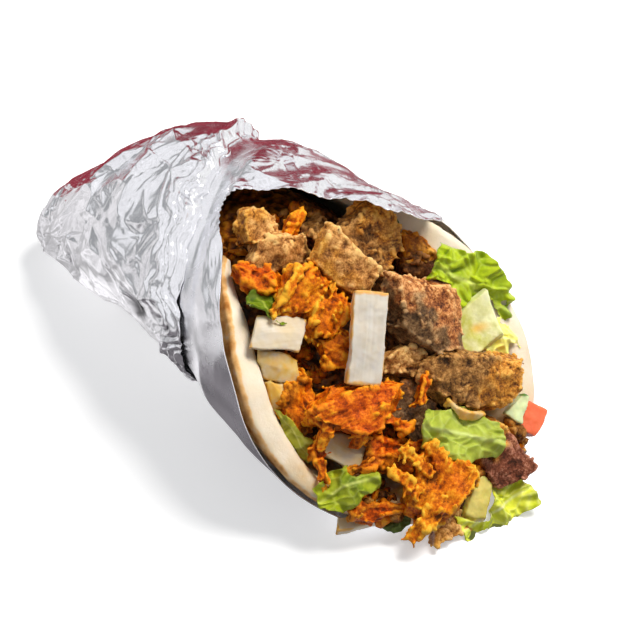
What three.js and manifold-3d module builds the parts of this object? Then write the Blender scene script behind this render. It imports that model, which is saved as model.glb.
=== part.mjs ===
// Doner kebab sandwich: a flatbread trough full of doner slices, spiced chicken and salad, wrapped in foil.
// Millimetres. While it is modelled, X runs from the closed tail of the roll (0) to its open mouth, Y runs
// across it and Z up from the surface it lies on. At the end the whole is moved so that the origin is the
// centre of its footprint.
import * as THREE from "three";
import { mergeVertices } from "three/addons/utils/BufferGeometryUtils.js";
import Module from "manifold-3d";

const wasm = await Module();
wasm.setup();

// ---------------------------------------------------------------- driving dimensions

const GAP = 0.5; // clearance between neighbouring pieces

// The roll is an ellipse in section. It widens towards the mouth and is pinched at the tail.
const TAIL_X = -5;
const TAIL_ROUND = 12; // length of the rounded tail end
const REFERENCE_LENGTH = 200;
const WIDTH = { tail: 37.5, gain: 16.7, pinch: 6.9, pinchLength: 65, power: 1 }; // half width
const HEIGHT = { tail: 32, gain: 14, pinch: 16, pinchLength: 28, power: 1.8 }; // half height
const SETTLED = 1.2; // how far the round underside is pressed flat
// Low on the near side the roll is tucked in. There each layer lies looser on the one below, by the slack.
const TUCK = { x: 87, long: 24, at: 212, spread: 26, by: 6, slack: 0.8 };

// The mouth is cut on a slant: its roof is set back and its lower lip reaches forward.
const MOUTH = { middleX: 149.6, slant: 36.1, skew: 8.3, middleZ: 42 };
const NEAR_REACH = { at: 174, spread: 30, by: 7 }; // the near side reaches forward: degrees round, millimetres

// Foil: an outer sheet closes the tail, an inner sheet comes out from under it and reaches the mouth.
const FOIL = 0.9;
const LAYER_GAP = 0.4;
const OUTER_EDGE = { middleX: 78, swing: 30, turn: 190 };
// Over the top the inner sheet's edge is set back on the near side and hangs over on the far side.
const SET_BACK = { at: 108, spread: 17, by: 17 }; // degrees round the section, degrees, millimetres
const OVERHANG = { at: 60, spread: 19, by: 22 };
const UNDERLAP = 24; // how far the inner sheet runs in under the outer one
const SHORT_OF_RIM = 2; // elsewhere the inner sheet ends this far behind the rim of the bread

// The outer sheet is crumpled from the tail on.
const CRUMPLED_FROM_X = 14;
const OUTER_CREASES = 0.7;

// Past the outer sheet's edge the inner sheet surfaces, and its roof settles down to the bread.
const SURFACING = { from: 2, to: 14, creasedFrom: 16 };
const ROOF_LIFT = { from: 20, to: 50, by: 2.2, creases: 0.6 };

// Flatbread: open along the top like a trough.
const BREAD = 9;
const BREAD_TAIL_X = 8;
const BREAD_FROM = -232; // degrees round the section, near edge
const BREAD_TO = 66; // far edge
const BREAD_TAPER = 30; // degrees over which an edge thins
const BREAD_EDGE = 3.2; // its thickness there
const BREAD_THIN = { at: 226, spread: 27, by: 3.4 }; // low on the near side it is thinner
const BREAD_RISE = { from: 8, to: 40 }; // where it rises under a single sheet, past the outer sheet's edge
const RIM_ROUND = 2.6;
// At its two edges the rim runs back under the foil, over these degrees and by these millimetres.
const NEAR_RUNBACK = { over: 26, by: 9 };
const FAR_RUNBACK = { over: 22, by: 12 };

// Filling: how far its bed lies below the plane of the mouth, and how far its open face bulges out again.
const BED_DEPTH = 7;
const BED_BULGE = 4.5;
// The bed also fills the gap between the bread's edges, up to the foil, and sinks a little towards the mouth.
const BED_GAP = { from: BREAD_TO, to: 128, blend: 10, sinksFrom: 70, sunkBy: 98 };

const rad = THREE.MathUtils.degToRad;
const smooth = (x, from, to) => THREE.MathUtils.smoothstep(x, from, to);

// A seeded random number generator, so that every build is the same.
function randomFrom(seed) {
  let state = seed * 2654435761;
  return () => {
    state = (state + 0x6d2b79f5) | 0;
    let t = Math.imul(state ^ (state >>> 15), 1 | state);
    t = (t + Math.imul(t ^ (t >>> 7), 61 | t)) ^ t;
    return ((t ^ (t >>> 14)) >>> 0) / 4294967296;
  };
}

// ---------------------------------------------------------------- meshes and solids

// A closed mesh from triangles given as points.
function geometryOf(points) {
  const merged = mergeVertices(new THREE.BufferGeometry().setFromPoints(points), 1e-4);
  const index = merged.index.array;
  const kept = [];
  for (let i = 0; i < index.length; i += 3) {
    const [a, b, c] = [index[i], index[i + 1], index[i + 2]];
    if (a !== b && b !== c && a !== c) kept.push(a, b, c);
  }
  merged.setIndex(kept);
  return merged;
}

// Adds the quads between the rows of a grid of points.
function addGrid(points, rows, { around = false, flip = false } = {}) {
  for (let i = 0; i + 1 < rows.length; i++) {
    const count = rows[i].length;
    for (let j = 0; j < (around ? count : count - 1); j++) {
      const next = (j + 1) % count;
      const [a, b, c, d] = [rows[i][j], rows[i + 1][j], rows[i + 1][next], rows[i][next]];
      points.push(...(flip ? [a, c, b, a, d, c] : [a, b, c, a, c, d]));
    }
  }
}

// A sheet with two faces, both split into triangles alike, and a closed border.
function sheet(upper, lower, { around = false } = {}) {
  const points = [];
  const last = upper.length - 1;
  addGrid(points, upper, { around });
  addGrid(points, lower, { around, flip: true });
  addGrid(points, [upper[last], lower[last]], { around });
  addGrid(points, [lower[0], upper[0]], { around });
  if (!around) {
    const end = upper[0].length - 1;
    addGrid(points, [upper.map((row) => row[0]), lower.map((row) => row[0])]);
    addGrid(points, [lower.map((row) => row[end]), upper.map((row) => row[end])]);
  }
  return geometryOf(points);
}

function solidOf(geometry) {
  const triVerts = new Uint32Array(geometry.index.array);
  const vertProperties = new Float32Array(geometry.attributes.position.array);
  const make = () => new wasm.Manifold(new wasm.Mesh({ numProp: 3, vertProperties, triVerts }));
  const made = make();
  if (made.volume() > 0) return made;
  for (let i = 0; i < triVerts.length; i += 3) {
    [triVerts[i + 1], triVerts[i + 2]] = [triVerts[i + 2], triVerts[i + 1]];
  }
  return make();
}

// The largest body of a solid: cutting can leave loose scraps.
function mainBody(solid) {
  return solid.decompose().reduce((best, body) => (body.volume() > best.volume() ? body : best));
}

function geometryOfSolid(solid) {
  const mesh = solid.getMesh();
  const position = new Float32Array(mesh.numVert * 3);
  for (let i = 0; i < mesh.numVert; i++) {
    position.set(mesh.vertProperties.subarray(i * mesh.numProp, i * mesh.numProp + 3), i * 3);
  }
  const geometry = new THREE.BufferGeometry();
  geometry.setAttribute("position", new THREE.BufferAttribute(position, 3));
  geometry.setIndex(new THREE.BufferAttribute(mesh.triVerts, 1));
  geometry.computeVertexNormals();
  return geometry;
}

// ---------------------------------------------------------------- the roll

function halfSizes(x) {
  const cap = Math.max(0, (TAIL_X + TAIL_ROUND - x) / TAIL_ROUND);
  const closing = Math.max(0, 1 - cap ** 4) ** 0.25;
  const size = ({ tail, gain, pinch, pinchLength, power }) =>
    tail + (gain * x) / REFERENCE_LENGTH - pinch * Math.exp(-((Math.max(x, 0) / pinchLength) ** power));
  return { width: size(WIDTH) * closing, height: size(HEIGHT) * closing, fullHeight: size(HEIGHT) };
}

// From 1 in the middle of a stretch of the section to 0 away from it.
function within(angle, { at, spread }) {
  const away = THREE.MathUtils.euclideanModulo(angle - at + 180, 360) - 180;
  return Math.exp(-((away / spread) ** 2));
}

// From 0 to 1 in the middle of the tuck.
const tucked = (x, angle) => Math.exp(-(((x - TUCK.x) / TUCK.long) ** 2)) * within(angle, TUCK);

// A point on the roll: angle 0 is the far side, 90 the top, 180 the near side, 270 the underside.
function rollPoint(x, angle, inset = 0) {
  const { width, height, fullHeight } = halfSizes(x);
  const share = height / fullHeight; // an inset shrinks with the section at the tail
  const inwards = (inset + TUCK.by * tucked(x, angle)) * share;
  const y = (width - inwards) * Math.cos(rad(angle));
  const z = fullHeight - SETTLED + (height - inwards) * Math.sin(rad(angle));
  return new THREE.Vector3(x + inset * (1 - share), y, Math.max(z, inset));
}

const mouthX = (angle) =>
  MOUTH.middleX - MOUTH.slant * Math.sin(rad(angle)) + MOUTH.skew * Math.cos(rad(angle));

const outerEdgeX = (angle) =>
  OUTER_EDGE.middleX + OUTER_EDGE.swing * Math.cos(rad(angle - OUTER_EDGE.turn));

const bump = (angle, stretch) => stretch.by * within(angle, stretch);

// The inner sheet ends just short of the rim of the bread, apart from its roof.
const innerEdgeX = (angle) =>
  mouthX(angle) + bump(angle, NEAR_REACH) - SHORT_OF_RIM - bump(angle, SET_BACK) + bump(angle, OVERHANG);

// Creases in crumpled foil: ridges that cross each other. They fade where the foil is pulled smooth.
const CREASES = [
  { height: 1.5, along: 0.085, round: 3, shift: 0.4 },
  { height: 1.1, along: -0.14, round: 5, shift: 1.9 },
  { height: 0.8, along: 0.23, round: 8, shift: 2.7 },
];

function crumple(x, angle) {
  return CREASES.reduce(
    (sum, c) => sum + c.height * (1 - Math.abs(Math.sin(c.along * x + (c.round * rad(angle)) / 2 + c.shift))),
    0,
  );
}

const ANGLE_STEPS = 32;
const angles = Array.from({ length: ANGLE_STEPS }, (_, i) => (i * 360) / ANGLE_STEPS);

// From 0 below to 1 over the top, a little towards the far side.
const HIGHEST_ANGLE = 80;
const overTop = (angle) => Math.max(0, Math.cos(rad(angle - HIGHEST_ANGLE)));

// From 0 to 1 over a stretch of the roll that is measured from the outer sheet's edge.
const pastEdge = (x, angle, from, to) => smooth(x - outerEdgeX(angle), from, to);

// A point on a sheet that lies at depth and is raised off the roll, but never lower than it may lie.
function foilPoint(x, angle, depth, raised) {
  const point = rollPoint(x, angle, depth - raised);
  return point.setZ(Math.max(point.z, depth));
}

// The outer sheet, closed at the tail, where its rings lie closer together.
function outerFoilGeometry() {
  const rings = 11;
  const crowding = 1.25;
  const face = (inset) =>
    Array.from({ length: rings + 1 }, (_, i) =>
      angles.map((angle) => {
        const x = THREE.MathUtils.lerp(TAIL_X, outerEdgeX(angle), (i / rings) ** crowding);
        const raised = OUTER_CREASES * crumple(x, angle) * smooth(x, TAIL_X, CRUMPLED_FROM_X);
        return foilPoint(x, angle, inset, raised);
      }),
    );
  return sheet(face(0), face(FOIL), { around: true });
}

// How deep the inner sheet lies: under the outer sheet, then level with it past its edge.
function innerDepth(x, angle) {
  const under = FOIL + LAYER_GAP + TUCK.slack * tucked(x, angle);
  return under * (1 - pastEdge(x, angle, SURFACING.from, SURFACING.to));
}

// Its rings are spaced evenly on each side of the place where it surfaces.
function innerFoilGeometry(grow = 0) {
  const [ringsUnder, ringsPast] = [2, 6];
  const stationX = (i, angle) => {
    const cover = outerEdgeX(angle) + SURFACING.from;
    return i <= ringsUnder
      ? THREE.MathUtils.lerp(outerEdgeX(angle) - UNDERLAP, cover, i / ringsUnder)
      : THREE.MathUtils.lerp(cover, innerEdgeX(angle) + grow, (i - ringsUnder) / ringsPast);
  };
  const face = (inset) =>
    Array.from({ length: ringsUnder + ringsPast + 1 }, (_, i) =>
      angles.map((angle) => {
        const x = stationX(i, angle);
        const lift = ROOF_LIFT.by * (1 - pastEdge(x, angle, ROOF_LIFT.from, ROOF_LIFT.to));
        const free = overTop(angle) * pastEdge(x, angle, SURFACING.from, SURFACING.creasedFrom);
        const raised = (ROOF_LIFT.creases * crumple(x, angle) + lift) * free;
        return foilPoint(x, angle, innerDepth(x, angle) + inset, raised);
      }),
    );
  return sheet(face(-grow), face(FOIL + grow), { around: true });
}

// ---------------------------------------------------------------- the flatbread

// The bread lies under both sheets, and rises a little where there is only one.
function breadDepth(x, angle) {
  const sheets = 2 - pastEdge(x, angle, BREAD_RISE.from, BREAD_RISE.to);
  return (FOIL + LAYER_GAP) * sheets + LAYER_GAP + 2 * TUCK.slack * tucked(x, angle);
}

function breadThickness(angle) {
  const edge = Math.min(angle - BREAD_FROM, BREAD_TO - angle) / BREAD_TAPER;
  const full = BREAD - bump(angle, BREAD_THIN);
  return THREE.MathUtils.lerp(BREAD_EDGE, full, Math.sqrt(THREE.MathUtils.clamp(edge, 0, 1)));
}

// Where the rim of the bread lies.
function rimX(angle) {
  const near = NEAR_RUNBACK.by * (1 - smooth(angle, BREAD_FROM, BREAD_FROM + NEAR_RUNBACK.over));
  const far = FAR_RUNBACK.by * smooth(angle, BREAD_TO - FAR_RUNBACK.over, BREAD_TO);
  return mouthX(angle) + bump(angle, NEAR_REACH) - near - far;
}

function breadGeometry(grow = 0) {
  const steps = 22;
  const turns = Array.from({ length: steps + 1 }, (_, j) =>
    THREE.MathUtils.lerp(BREAD_FROM - grow, BREAD_TO + grow, j / steps),
  );
  const body = 8;
  // Each station is a share of the way to the rim, and how far the rim's rounding has cut in.
  const stations = [
    ...Array.from({ length: body }, (_, i) => ({ share: i / body, round: 0 })),
    { share: 1, round: 0 },
    { share: 1, round: 0.55 },
    { share: 1, round: 1 },
  ];
  const mostRound = 0.4; // of the bread's thickness
  const face = (outer) =>
    stations.map(({ share, round }) =>
      turns.map((angle) => {
        const thick = breadThickness(angle);
        const corner = Math.min(RIM_ROUND, thick * mostRound);
        const run = rimX(angle) + grow - corner * (1 - Math.sin((round * Math.PI) / 2));
        const x = THREE.MathUtils.lerp(BREAD_TAIL_X - grow, run, share);
        const cut = corner * (1 - Math.cos((round * Math.PI) / 2));
        return rollPoint(x, angle, breadDepth(x, angle) + (outer ? cut - grow : thick - cut + grow));
      }),
    );
  return sheet(face(true), face(false));
}

// ---------------------------------------------------------------- the plane of the mouth

// Pieces of filling are placed from the middle of the mouth: u across it towards the far side, v up its
// slope towards the roof, and lift out of it.
const mouthCentre = new THREE.Vector3(MOUTH.middleX, 0, MOUTH.middleZ);
const mouthU = new THREE.Vector3(MOUTH.skew, halfSizes(MOUTH.middleX).width, 0).normalize();
const mouthN = new THREE.Vector3(MOUTH.slant, 0, -MOUTH.middleZ + 2).cross(mouthU).normalize();
if (mouthN.x < 0) mouthN.negate();
const mouthV = mouthN.clone().cross(mouthU);
const mouthFrame = new THREE.Matrix4()
  .makeBasis(mouthU, mouthV, mouthN)
  .setPosition(mouthCentre);

function placement({ at, spin = 0, tip = 0, roll = 0 }) {
  const turn = new THREE.Euler(rad(tip), rad(roll), rad(spin), "ZYX");
  return new THREE.Matrix4()
    .makeRotationFromEuler(turn)
    .setPosition(...at)
    .premultiply(mouthFrame);
}

// ---------------------------------------------------------------- shapes of the filling

// A hand-cut block with rounded corners and a craggy surface: askew, bent and twisted as far as warp says.
// grow makes the same shape that much larger.
function chunk({ size, seed, crag = 1, square = 5, warp = 0.3, cells = [4, 3, 2], taper = 0 }, grow = 0) {
  const box = new THREE.BoxGeometry(2, 2, 2, ...cells);
  box.deleteAttribute("normal");
  box.deleteAttribute("uv");
  const geometry = mergeVertices(box);
  const position = geometry.attributes.position;
  const random = randomFrom(seed);
  const amount = () => warp * (random() < 0.5 ? -1 : 1) * (0.4 + 0.6 * random());
  const [shear, bow, wedge, bend, thinning, twist] = Array.from({ length: 6 }, amount);
  const p = new THREE.Vector3();
  const dir = new THREE.Vector3();
  for (let i = 0; i < position.count; i++) {
    p.fromBufferAttribute(position, i);
    const norm = (Math.abs(p.x) ** square + Math.abs(p.y) ** square + Math.abs(p.z) ** square) ** (1 / square);
    p.divideScalar(norm);
    dir.copy(p).normalize();
    const { x, y, z } = p;
    p.x += shear * y + bow * (z * z - 0.5);
    p.y += wedge * x * y + bend * (x * x - 0.5);
    p.z += thinning * y * z + twist * x * y;
    const narrow = 1 - taper * (0.5 + x / 2);
    p.set((p.x * size[0]) / 2, (p.y * size[1] * narrow) / 2, (p.z * size[2]) / 2);
    p.addScaledVector(dir, crag * (random() * 1.6 - 0.9) + grow * 1.25);
    position.setXYZ(i, p.x, p.y, p.z);
  }
  return solidOf(geometry);
}

// A slab of even thickness on a curved middle surface. middle(s, t) gives that surface for s and t from -1
// to 1. grow makes the slab that much larger on every side.
function slab(middle, [cellsLong, cellsWide], thick, grow) {
  const step = 0.01;
  const slope = (s, t, ds, dt) =>
    middle(s + ds * step, t + dt * step)
      .sub(middle(s - ds * step, t - dt * step))
      .normalize();
  const face = (side) =>
    Array.from({ length: cellsLong + 1 }, (_, i) =>
      Array.from({ length: cellsWide + 1 }, (_, j) => {
        const [s, t] = [(2 * i) / cellsLong - 1, (2 * j) / cellsWide - 1];
        const [along, across] = [slope(s, t, 1, 0), slope(s, t, 0, 1)];
        const outwards = new THREE.Vector3().crossVectors(along, across).normalize();
        const point = middle(s, t).addScaledVector(outwards, side * (thick / 2 + 1.6 * grow));
        if (Math.abs(s) === 1) point.addScaledVector(along, s * 1.6 * grow);
        if (Math.abs(t) === 1) point.addScaledVector(across, t * 1.6 * grow);
        return point;
      }),
    );
  return solidOf(sheet(face(1), face(-1)));
}

// A torn strip of meat: it bends and narrows to its end.
function shred({ from, to, wide = 2.6, thick = 2, sag = 1.5 }, grow = 0) {
  const start = new THREE.Vector3(...from);
  const run = new THREE.Vector3(...to).sub(start);
  const side = new THREE.Vector3(0, 0, 1).cross(run).normalize();
  const middle = (s, t) => {
    const along = (s + 1) / 2;
    return start
      .clone()
      .addScaledVector(run, along)
      .addScaledVector(side, (t * wide * (1 - 0.55 * along)) / 2)
      .add(new THREE.Vector3(0, 0, sag * Math.cos((s * Math.PI) / 2)));
  };
  return slab(middle, [2, 1], thick, grow);
}

// Chicken: a torn block with shreds hanging from it.
function chicken({ shreds = [], ...block }, grow = 0) {
  return shreds.reduce(
    (solid, one) => solid.add(shred(one, grow)),
    chunk({ crag: 1.3, square: 3.2, ...block }, grow),
  );
}

// Onion: cut from a layer of the bulb, so it is gently curved along and across.
function onion({ size, curve = 1.5, cup = 0.6, skew = 0, taper = 0 }, grow = 0) {
  const [long, wide, thick] = size;
  const middle = (s, t) =>
    new THREE.Vector3(
      (s * long) / 2 + skew * t,
      ((t * wide) / 2) * (1 - taper * (s + 1) * 0.5) + 0.3 * Math.sin(4 * s),
      curve * (0.5 - s * s) + cup * (0.5 - t * t),
    );
  return slab(middle, [4, 2], thick, grow);
}

// Lettuce: a thin wavy leaf with a frilled, ragged outline.
function leaf({ size, seed, wave = 3, frill = 2, fold = 0, cells = [7, 4] }, grow = 0) {
  const [long, wide, thick] = size;
  const random = randomFrom(seed);
  const [bend, twist, ruffle, ripple, tear] = Array.from({ length: 5 }, () => 2 * Math.PI * random());
  const middle = (s, t) => {
    const outline = Math.sqrt(1.02 - 0.55 * s * s) * (0.92 + 0.14 * Math.sin(5 * s + tear));
    const waves = wave * Math.sin(2.1 * s + bend) * Math.cos(1.6 * t + twist);
    const edge = frill * (t * t * Math.sin(6 * s + ruffle) + 0.4 * s * s * Math.sin(4 * t + ripple));
    return new THREE.Vector3(
      (s * long * (1 - 0.1 * t * t)) / 2,
      (t * wide * outline) / 2,
      waves + edge + fold * Math.abs(t),
    );
  };
  return slab(middle, cells, thick, grow);
}

// ---------------------------------------------------------------- the filling

const COLOURS = {
  doner: { color: 0x7d5331, roughness: 0.55 },
  chicken: { color: 0xd9771a, roughness: 0.5 },
  onion: { color: 0xe9e2cf, roughness: 0.3 },
  lettuce: { color: 0x8fbf2a, roughness: 0.4 },
  tomato: { color: 0xe8552a, roughness: 0.25 },
  cucumber: { color: 0xc3d48e, roughness: 0.3 },
};

// Listed from the top of the heap down: each piece is cut back to clear those before it.
const FILLING = [
  {
    name: "onion_slab", of: "onion", shape: onion, at: [-6.5, 6.7, 10], size: [27.5, 10.5, 3.2],
    spin: 67, roll: -6, curve: 0.8, cup: 0.2,
  },
  {
    name: "lettuce_top", of: "lettuce", shape: leaf, at: [12.6, -30.3, 12], size: [26.5, 17, 1.2],
    spin: -30, tip: -4, wave: 2, frill: 1.3, fold: -3, seed: 3,
  },
  {
    name: "onion_curl", of: "onion", shape: onion, at: [16.2, -24.6, 9.5], size: [13, 3, 1.4],
    spin: -38, tip: 40, curve: 3, cup: 0,
  },
  {
    name: "chicken_small", of: "chicken", shape: chunk, at: [6, -13.7, 8.5], size: [11, 4.5, 4],
    spin: 62, crag: 0.8, square: 3, taper: 0.5, cells: [3, 2, 1], seed: 6,
  },
  {
    name: "doner_front", of: "doner", shape: chunk, at: [24.6, -16.4, 6], size: [32, 18, 14],
    spin: -26, tip: 8, crag: 1.3, square: 3.2, cells: [4, 3, 2], seed: 11,
  },
  {
    name: "chicken_spill", of: "chicken", shape: chicken, at: [0.8, -42.8, 7], size: [21, 17, 13],
    spin: 42, tip: -14, square: 5, cells: [4, 3, 2], seed: 12,
    shreds: [
      { from: [-6, 5, 5], to: [-3, 15, 5], wide: 4 },
      { from: [-8, -2, 4], to: [-18, 1, 1], wide: 6, thick: 4 },
      { from: [6, 3, 5], to: [12, 13, 4], wide: 4 },
      { from: [1, 4, 6], to: [4, 15, 6], wide: 3.4 },
    ],
  },
  {
    name: "chicken_middle", of: "chicken", shape: chicken, at: [-16.2, -11.3, 5.5], size: [25, 15, 11],
    spin: -23, square: 5, cells: [4, 3, 2], seed: 13,
    shreds: [
      { from: [9, -2, 1], to: [18, -5, 0], wide: 4 },
      { from: [-8, -3, 3], to: [-10, -12, 0], wide: 5, thick: 3 },
      { from: [2, -4, 2], to: [1, -12, 0], wide: 5, thick: 3 },
    ],
  },
  {
    name: "doner_crust", of: "doner", shape: chunk, at: [24.2, -40.4, 4], size: [22.5, 15, 12],
    spin: -73, tip: 4, crag: 0.9, square: 5, warp: 0.2, cells: [3, 3, 2], seed: 14,
  },
  {
    name: "doner_big", of: "doner", shape: chunk, at: [15.5, 7.2, 4], size: [26, 21, 14],
    spin: -37, roll: 8, crag: 1.2, square: 6, cells: [4, 3, 2], seed: 15,
  },
  {
    name: "doner_slice", of: "doner", shape: chunk, at: [-2.2, 29.4, 2.5], size: [22.5, 13, 8],
    spin: -59, tip: 10, crag: 0.7, square: 8, warp: 0.18, cells: [4, 3, 2], seed: 16,
  },
  {
    name: "cucumber_wedge", of: "cucumber", shape: chunk, at: [36.2, -30, 5], size: [10, 8, 3.5],
    spin: 38, crag: 0.2, square: 8, warp: 0.05, taper: 0.7, cells: [3, 2, 1], seed: 17,
  },
  {
    name: "tomato_wedge", of: "tomato", shape: chunk, at: [36.5, -32.2, 1], size: [20.5, 13, 8],
    spin: 138, crag: 0.25, square: 5, warp: 0.08, taper: 0.4, cells: [3, 2, 1], seed: 18,
  },
  {
    name: "chicken_shreds", of: "chicken", shape: chicken, at: [-9, -29.5, 2.5], size: [20, 11, 8],
    spin: -30, cells: [3, 2, 2], seed: 19,
    shreds: [
      { from: [-6, 2, 2], to: [-16, 6, 3] },
      { from: [4, 3, 3], to: [13, 8, 2] },
      { from: [-5, -2, 3], to: [-12, -7, 1] },
    ],
  },
  {
    name: "chicken_strand", of: "chicken", shape: chicken, at: [-17.2, 26.6, 0], size: [18.5, 13, 10],
    spin: 48, square: 4, cells: [3, 2, 2], seed: 20,
    shreds: [{ from: [5, 4, 5], to: [-11, 7, 4], wide: 2.4 }],
  },
  {
    name: "chicken_torn", of: "chicken", shape: chicken, at: [-12.4, 17, 0.5], size: [16, 12, 9],
    spin: 38, cells: [3, 2, 2], seed: 21,
    shreds: [{ from: [5, 2, 3], to: [10, 6, 1] }],
  },
  {
    name: "chicken_curl", of: "chicken", shape: chicken, at: [-13.6, 6.5, 0], size: [14, 11, 9],
    spin: -88, cells: [3, 2, 2], seed: 22,
    shreds: [{ from: [-1, 5, 3], to: [9, 6, 1] }],
  },
  {
    name: "onion_near", of: "onion", shape: onion, at: [-29.8, 16.6, 2], size: [15, 9.5, 3],
    spin: -22, tip: -12, curve: 0.8, skew: 1.5,
  },
  {
    name: "onion_near_low", of: "onion", shape: onion, at: [-32.2, 7.6, -0.5], size: [12.5, 9, 3],
    spin: -36, tip: 14, curve: 1.2, skew: -1.5, taper: 0.3,
  },
  {
    name: "onion_wedge", of: "onion", shape: onion, at: [-35.6, 2.6, -2.5], size: [12.5, 5, 4],
    spin: -80, curve: 2.4, cup: 1, taper: 0.35,
  },
  {
    name: "carrot_shreds", of: "chicken", shape: chicken, at: [-30, -20, 3], size: [9, 5, 4],
    spin: 62, cells: [2, 2, 1], seed: 26,
    shreds: [{ from: [-3, 0, 1], to: [-11, -3, 0], wide: 2.6 }],
  },
  {
    name: "doner_wall", of: "doner", shape: chunk, at: [6.4, -4.6, 1], size: [16, 9.5, 9],
    spin: -20, crag: 0.7, square: 7, cells: [3, 3, 2], seed: 27,
  },
  {
    name: "doner_low", of: "doner", shape: chunk, at: [3.4, -17.5, -1.5], size: [19, 17, 12],
    spin: 38, crag: 0.9, square: 4.5, cells: [3, 2, 2], seed: 28,
  },
  {
    name: "doner_roof", of: "doner", shape: chunk, at: [10.8, 33.6, -3.5], size: [21, 18, 14],
    spin: -78, crag: 1.4, square: 4.5, cells: [3, 3, 2], seed: 29,
  },
  {
    name: "lettuce_rib", of: "lettuce", shape: onion, at: [25.6, -5, 3.5], size: [29, 14, 4],
    spin: 22, tip: -6, curve: -2.4, cup: -1.2, skew: 3,
  },
  {
    name: "lettuce_far", of: "lettuce", shape: leaf, at: [35.8, 9.6, 2], size: [32, 22, 1.3],
    spin: -50, roll: 4, wave: 2.6, frill: 2.4, cells: [6, 4], seed: 31,
  },
  {
    name: "lettuce_yellow", of: "lettuce", shape: leaf, at: [39, -10, 1.5], size: [22, 13, 1.4],
    spin: -78, roll: -6, wave: 1.2, frill: 1.4, cells: [4, 2], seed: 32,
  },
  {
    name: "chicken_far", of: "chicken", shape: chunk, at: [24.9, 25.7, -5], size: [14, 10, 9],
    spin: -28, crag: 1, square: 3, cells: [3, 2, 2], seed: 33,
  },
  {
    name: "doner_dark", of: "doner", shape: chunk, at: [25, 18, -4.5], size: [18, 10, 9],
    spin: -28, crag: 1, square: 4, cells: [3, 2, 2], seed: 34,
  },
  {
    name: "chicken_stick", of: "chicken", shape: chunk, at: [-11.2, 45, -6], size: [14, 6, 5],
    spin: 43, crag: 0.8, square: 3, taper: 0.4, cells: [3, 2, 2], seed: 35,
  },
  {
    name: "doner_back", of: "doner", shape: chunk, at: [-20.6, 48, -8.5], size: [13, 11, 10],
    spin: -28, crag: 1, square: 4, cells: [3, 2, 2], seed: 36,
  },
  {
    name: "doner_crumbly", of: "doner", shape: chunk, at: [-19, 38.6, -7.5], size: [21, 12, 11],
    spin: -10, crag: 1.3, square: 3, cells: [3, 2, 2], seed: 37,
  },
  {
    name: "doner_deep", of: "doner", shape: chunk, at: [0, 40.5, -11], size: [11, 9, 8],
    spin: -47, crag: 1, square: 4, cells: [3, 2, 2], seed: 38,
  },
  {
    name: "chicken_near", of: "chicken", shape: chicken, at: [-28.3, 34.5, -5], size: [13, 9, 8],
    spin: -19, cells: [3, 2, 2], seed: 39,
    shreds: [{ from: [3, 1, 3], to: [6, -5, 3] }],
  },
  {
    name: "chicken_brown", of: "chicken", shape: chunk, at: [-29.4, -6.2, -3.5], size: [17, 13, 10],
    spin: -78, crag: 1, square: 4, cells: [3, 2, 2], seed: 40,
  },
  {
    name: "onion_low", of: "onion", shape: onion, at: [-20.4, -24.4, 0.5], size: [15.5, 9, 3.6],
    spin: -52, tip: -10, curve: 1, skew: 1.5,
  },
  {
    name: "lettuce_strip", of: "lettuce", shape: leaf, at: [-35, -13, 0.5], size: [21, 6, 1.2],
    spin: -67, tip: 30, wave: 0.8, frill: 1.2, cells: [6, 1], seed: 42,
  },
  {
    name: "lettuce_near", of: "lettuce", shape: leaf, at: [-27, 24, -1.5], size: [18, 12, 1.2],
    spin: -33, tip: -20, wave: 1.4, frill: 1, fold: 3, cells: [5, 3], seed: 43,
  },
  {
    name: "lettuce_low", of: "lettuce", shape: leaf, at: [-26.6, -32.8, 5.5], size: [19, 13, 1.3],
    spin: 8, tip: -16, wave: 1.8, frill: 1.6, cells: [5, 3], seed: 44,
  },
  {
    name: "cucumber_stick", of: "cucumber", shape: chunk, at: [13.6, -51, 4], size: [16, 9, 6],
    spin: 53, crag: 0.3, square: 4, warp: 0.1, taper: 0.3, cells: [3, 2, 2], seed: 45,
  },
  {
    name: "lettuce_spill", of: "lettuce", shape: leaf, at: [17.1, -55.8, 6], size: [27, 16, 1.3],
    spin: 12, tip: -8, wave: 2, frill: 1.6, cells: [6, 3], seed: 46,
  },
  {
    name: "doner_spill", of: "doner", shape: chunk, at: [3.6, -56.2, 4], size: [19, 8, 6],
    spin: -6, crag: 0.7, square: 5, cells: [4, 2, 1], seed: 47,
  },
  {
    name: "chicken_lip", of: "chicken", shape: chicken, at: [-21.5, -42.5, 3.5], size: [13, 7, 5],
    spin: -22, cells: [3, 2, 1], seed: 51,
    shreds: [
      { from: [4, 1, 1], to: [13, 1, 1] },
      { from: [-4, 1, 1], to: [-11, 4, 0] },
    ],
  },
  {
    name: "onion_spill", of: "onion", shape: onion, at: [-21.8, -44.6, -2.5], size: [16.5, 6, 3],
    spin: -10, tip: -35, curve: 0.4, cup: 0.2, skew: 1.5,
  },
  {
    name: "lettuce_dark", of: "lettuce", shape: leaf, at: [-12.4, -46, 1.5], size: [12, 9, 1.3],
    spin: 55, tip: -20, wave: 1.2, frill: 1, cells: [4, 3], seed: 49,
  },
  {
    name: "lettuce_sliver", of: "lettuce", shape: leaf, at: [20.5, 35, -5], size: [13, 6, 1.2],
    spin: 110, roll: -30, wave: 0.6, frill: 0.4, cells: [4, 2], seed: 50,
  },
];

// ---------------------------------------------------------------- the bed of the filling

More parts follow.
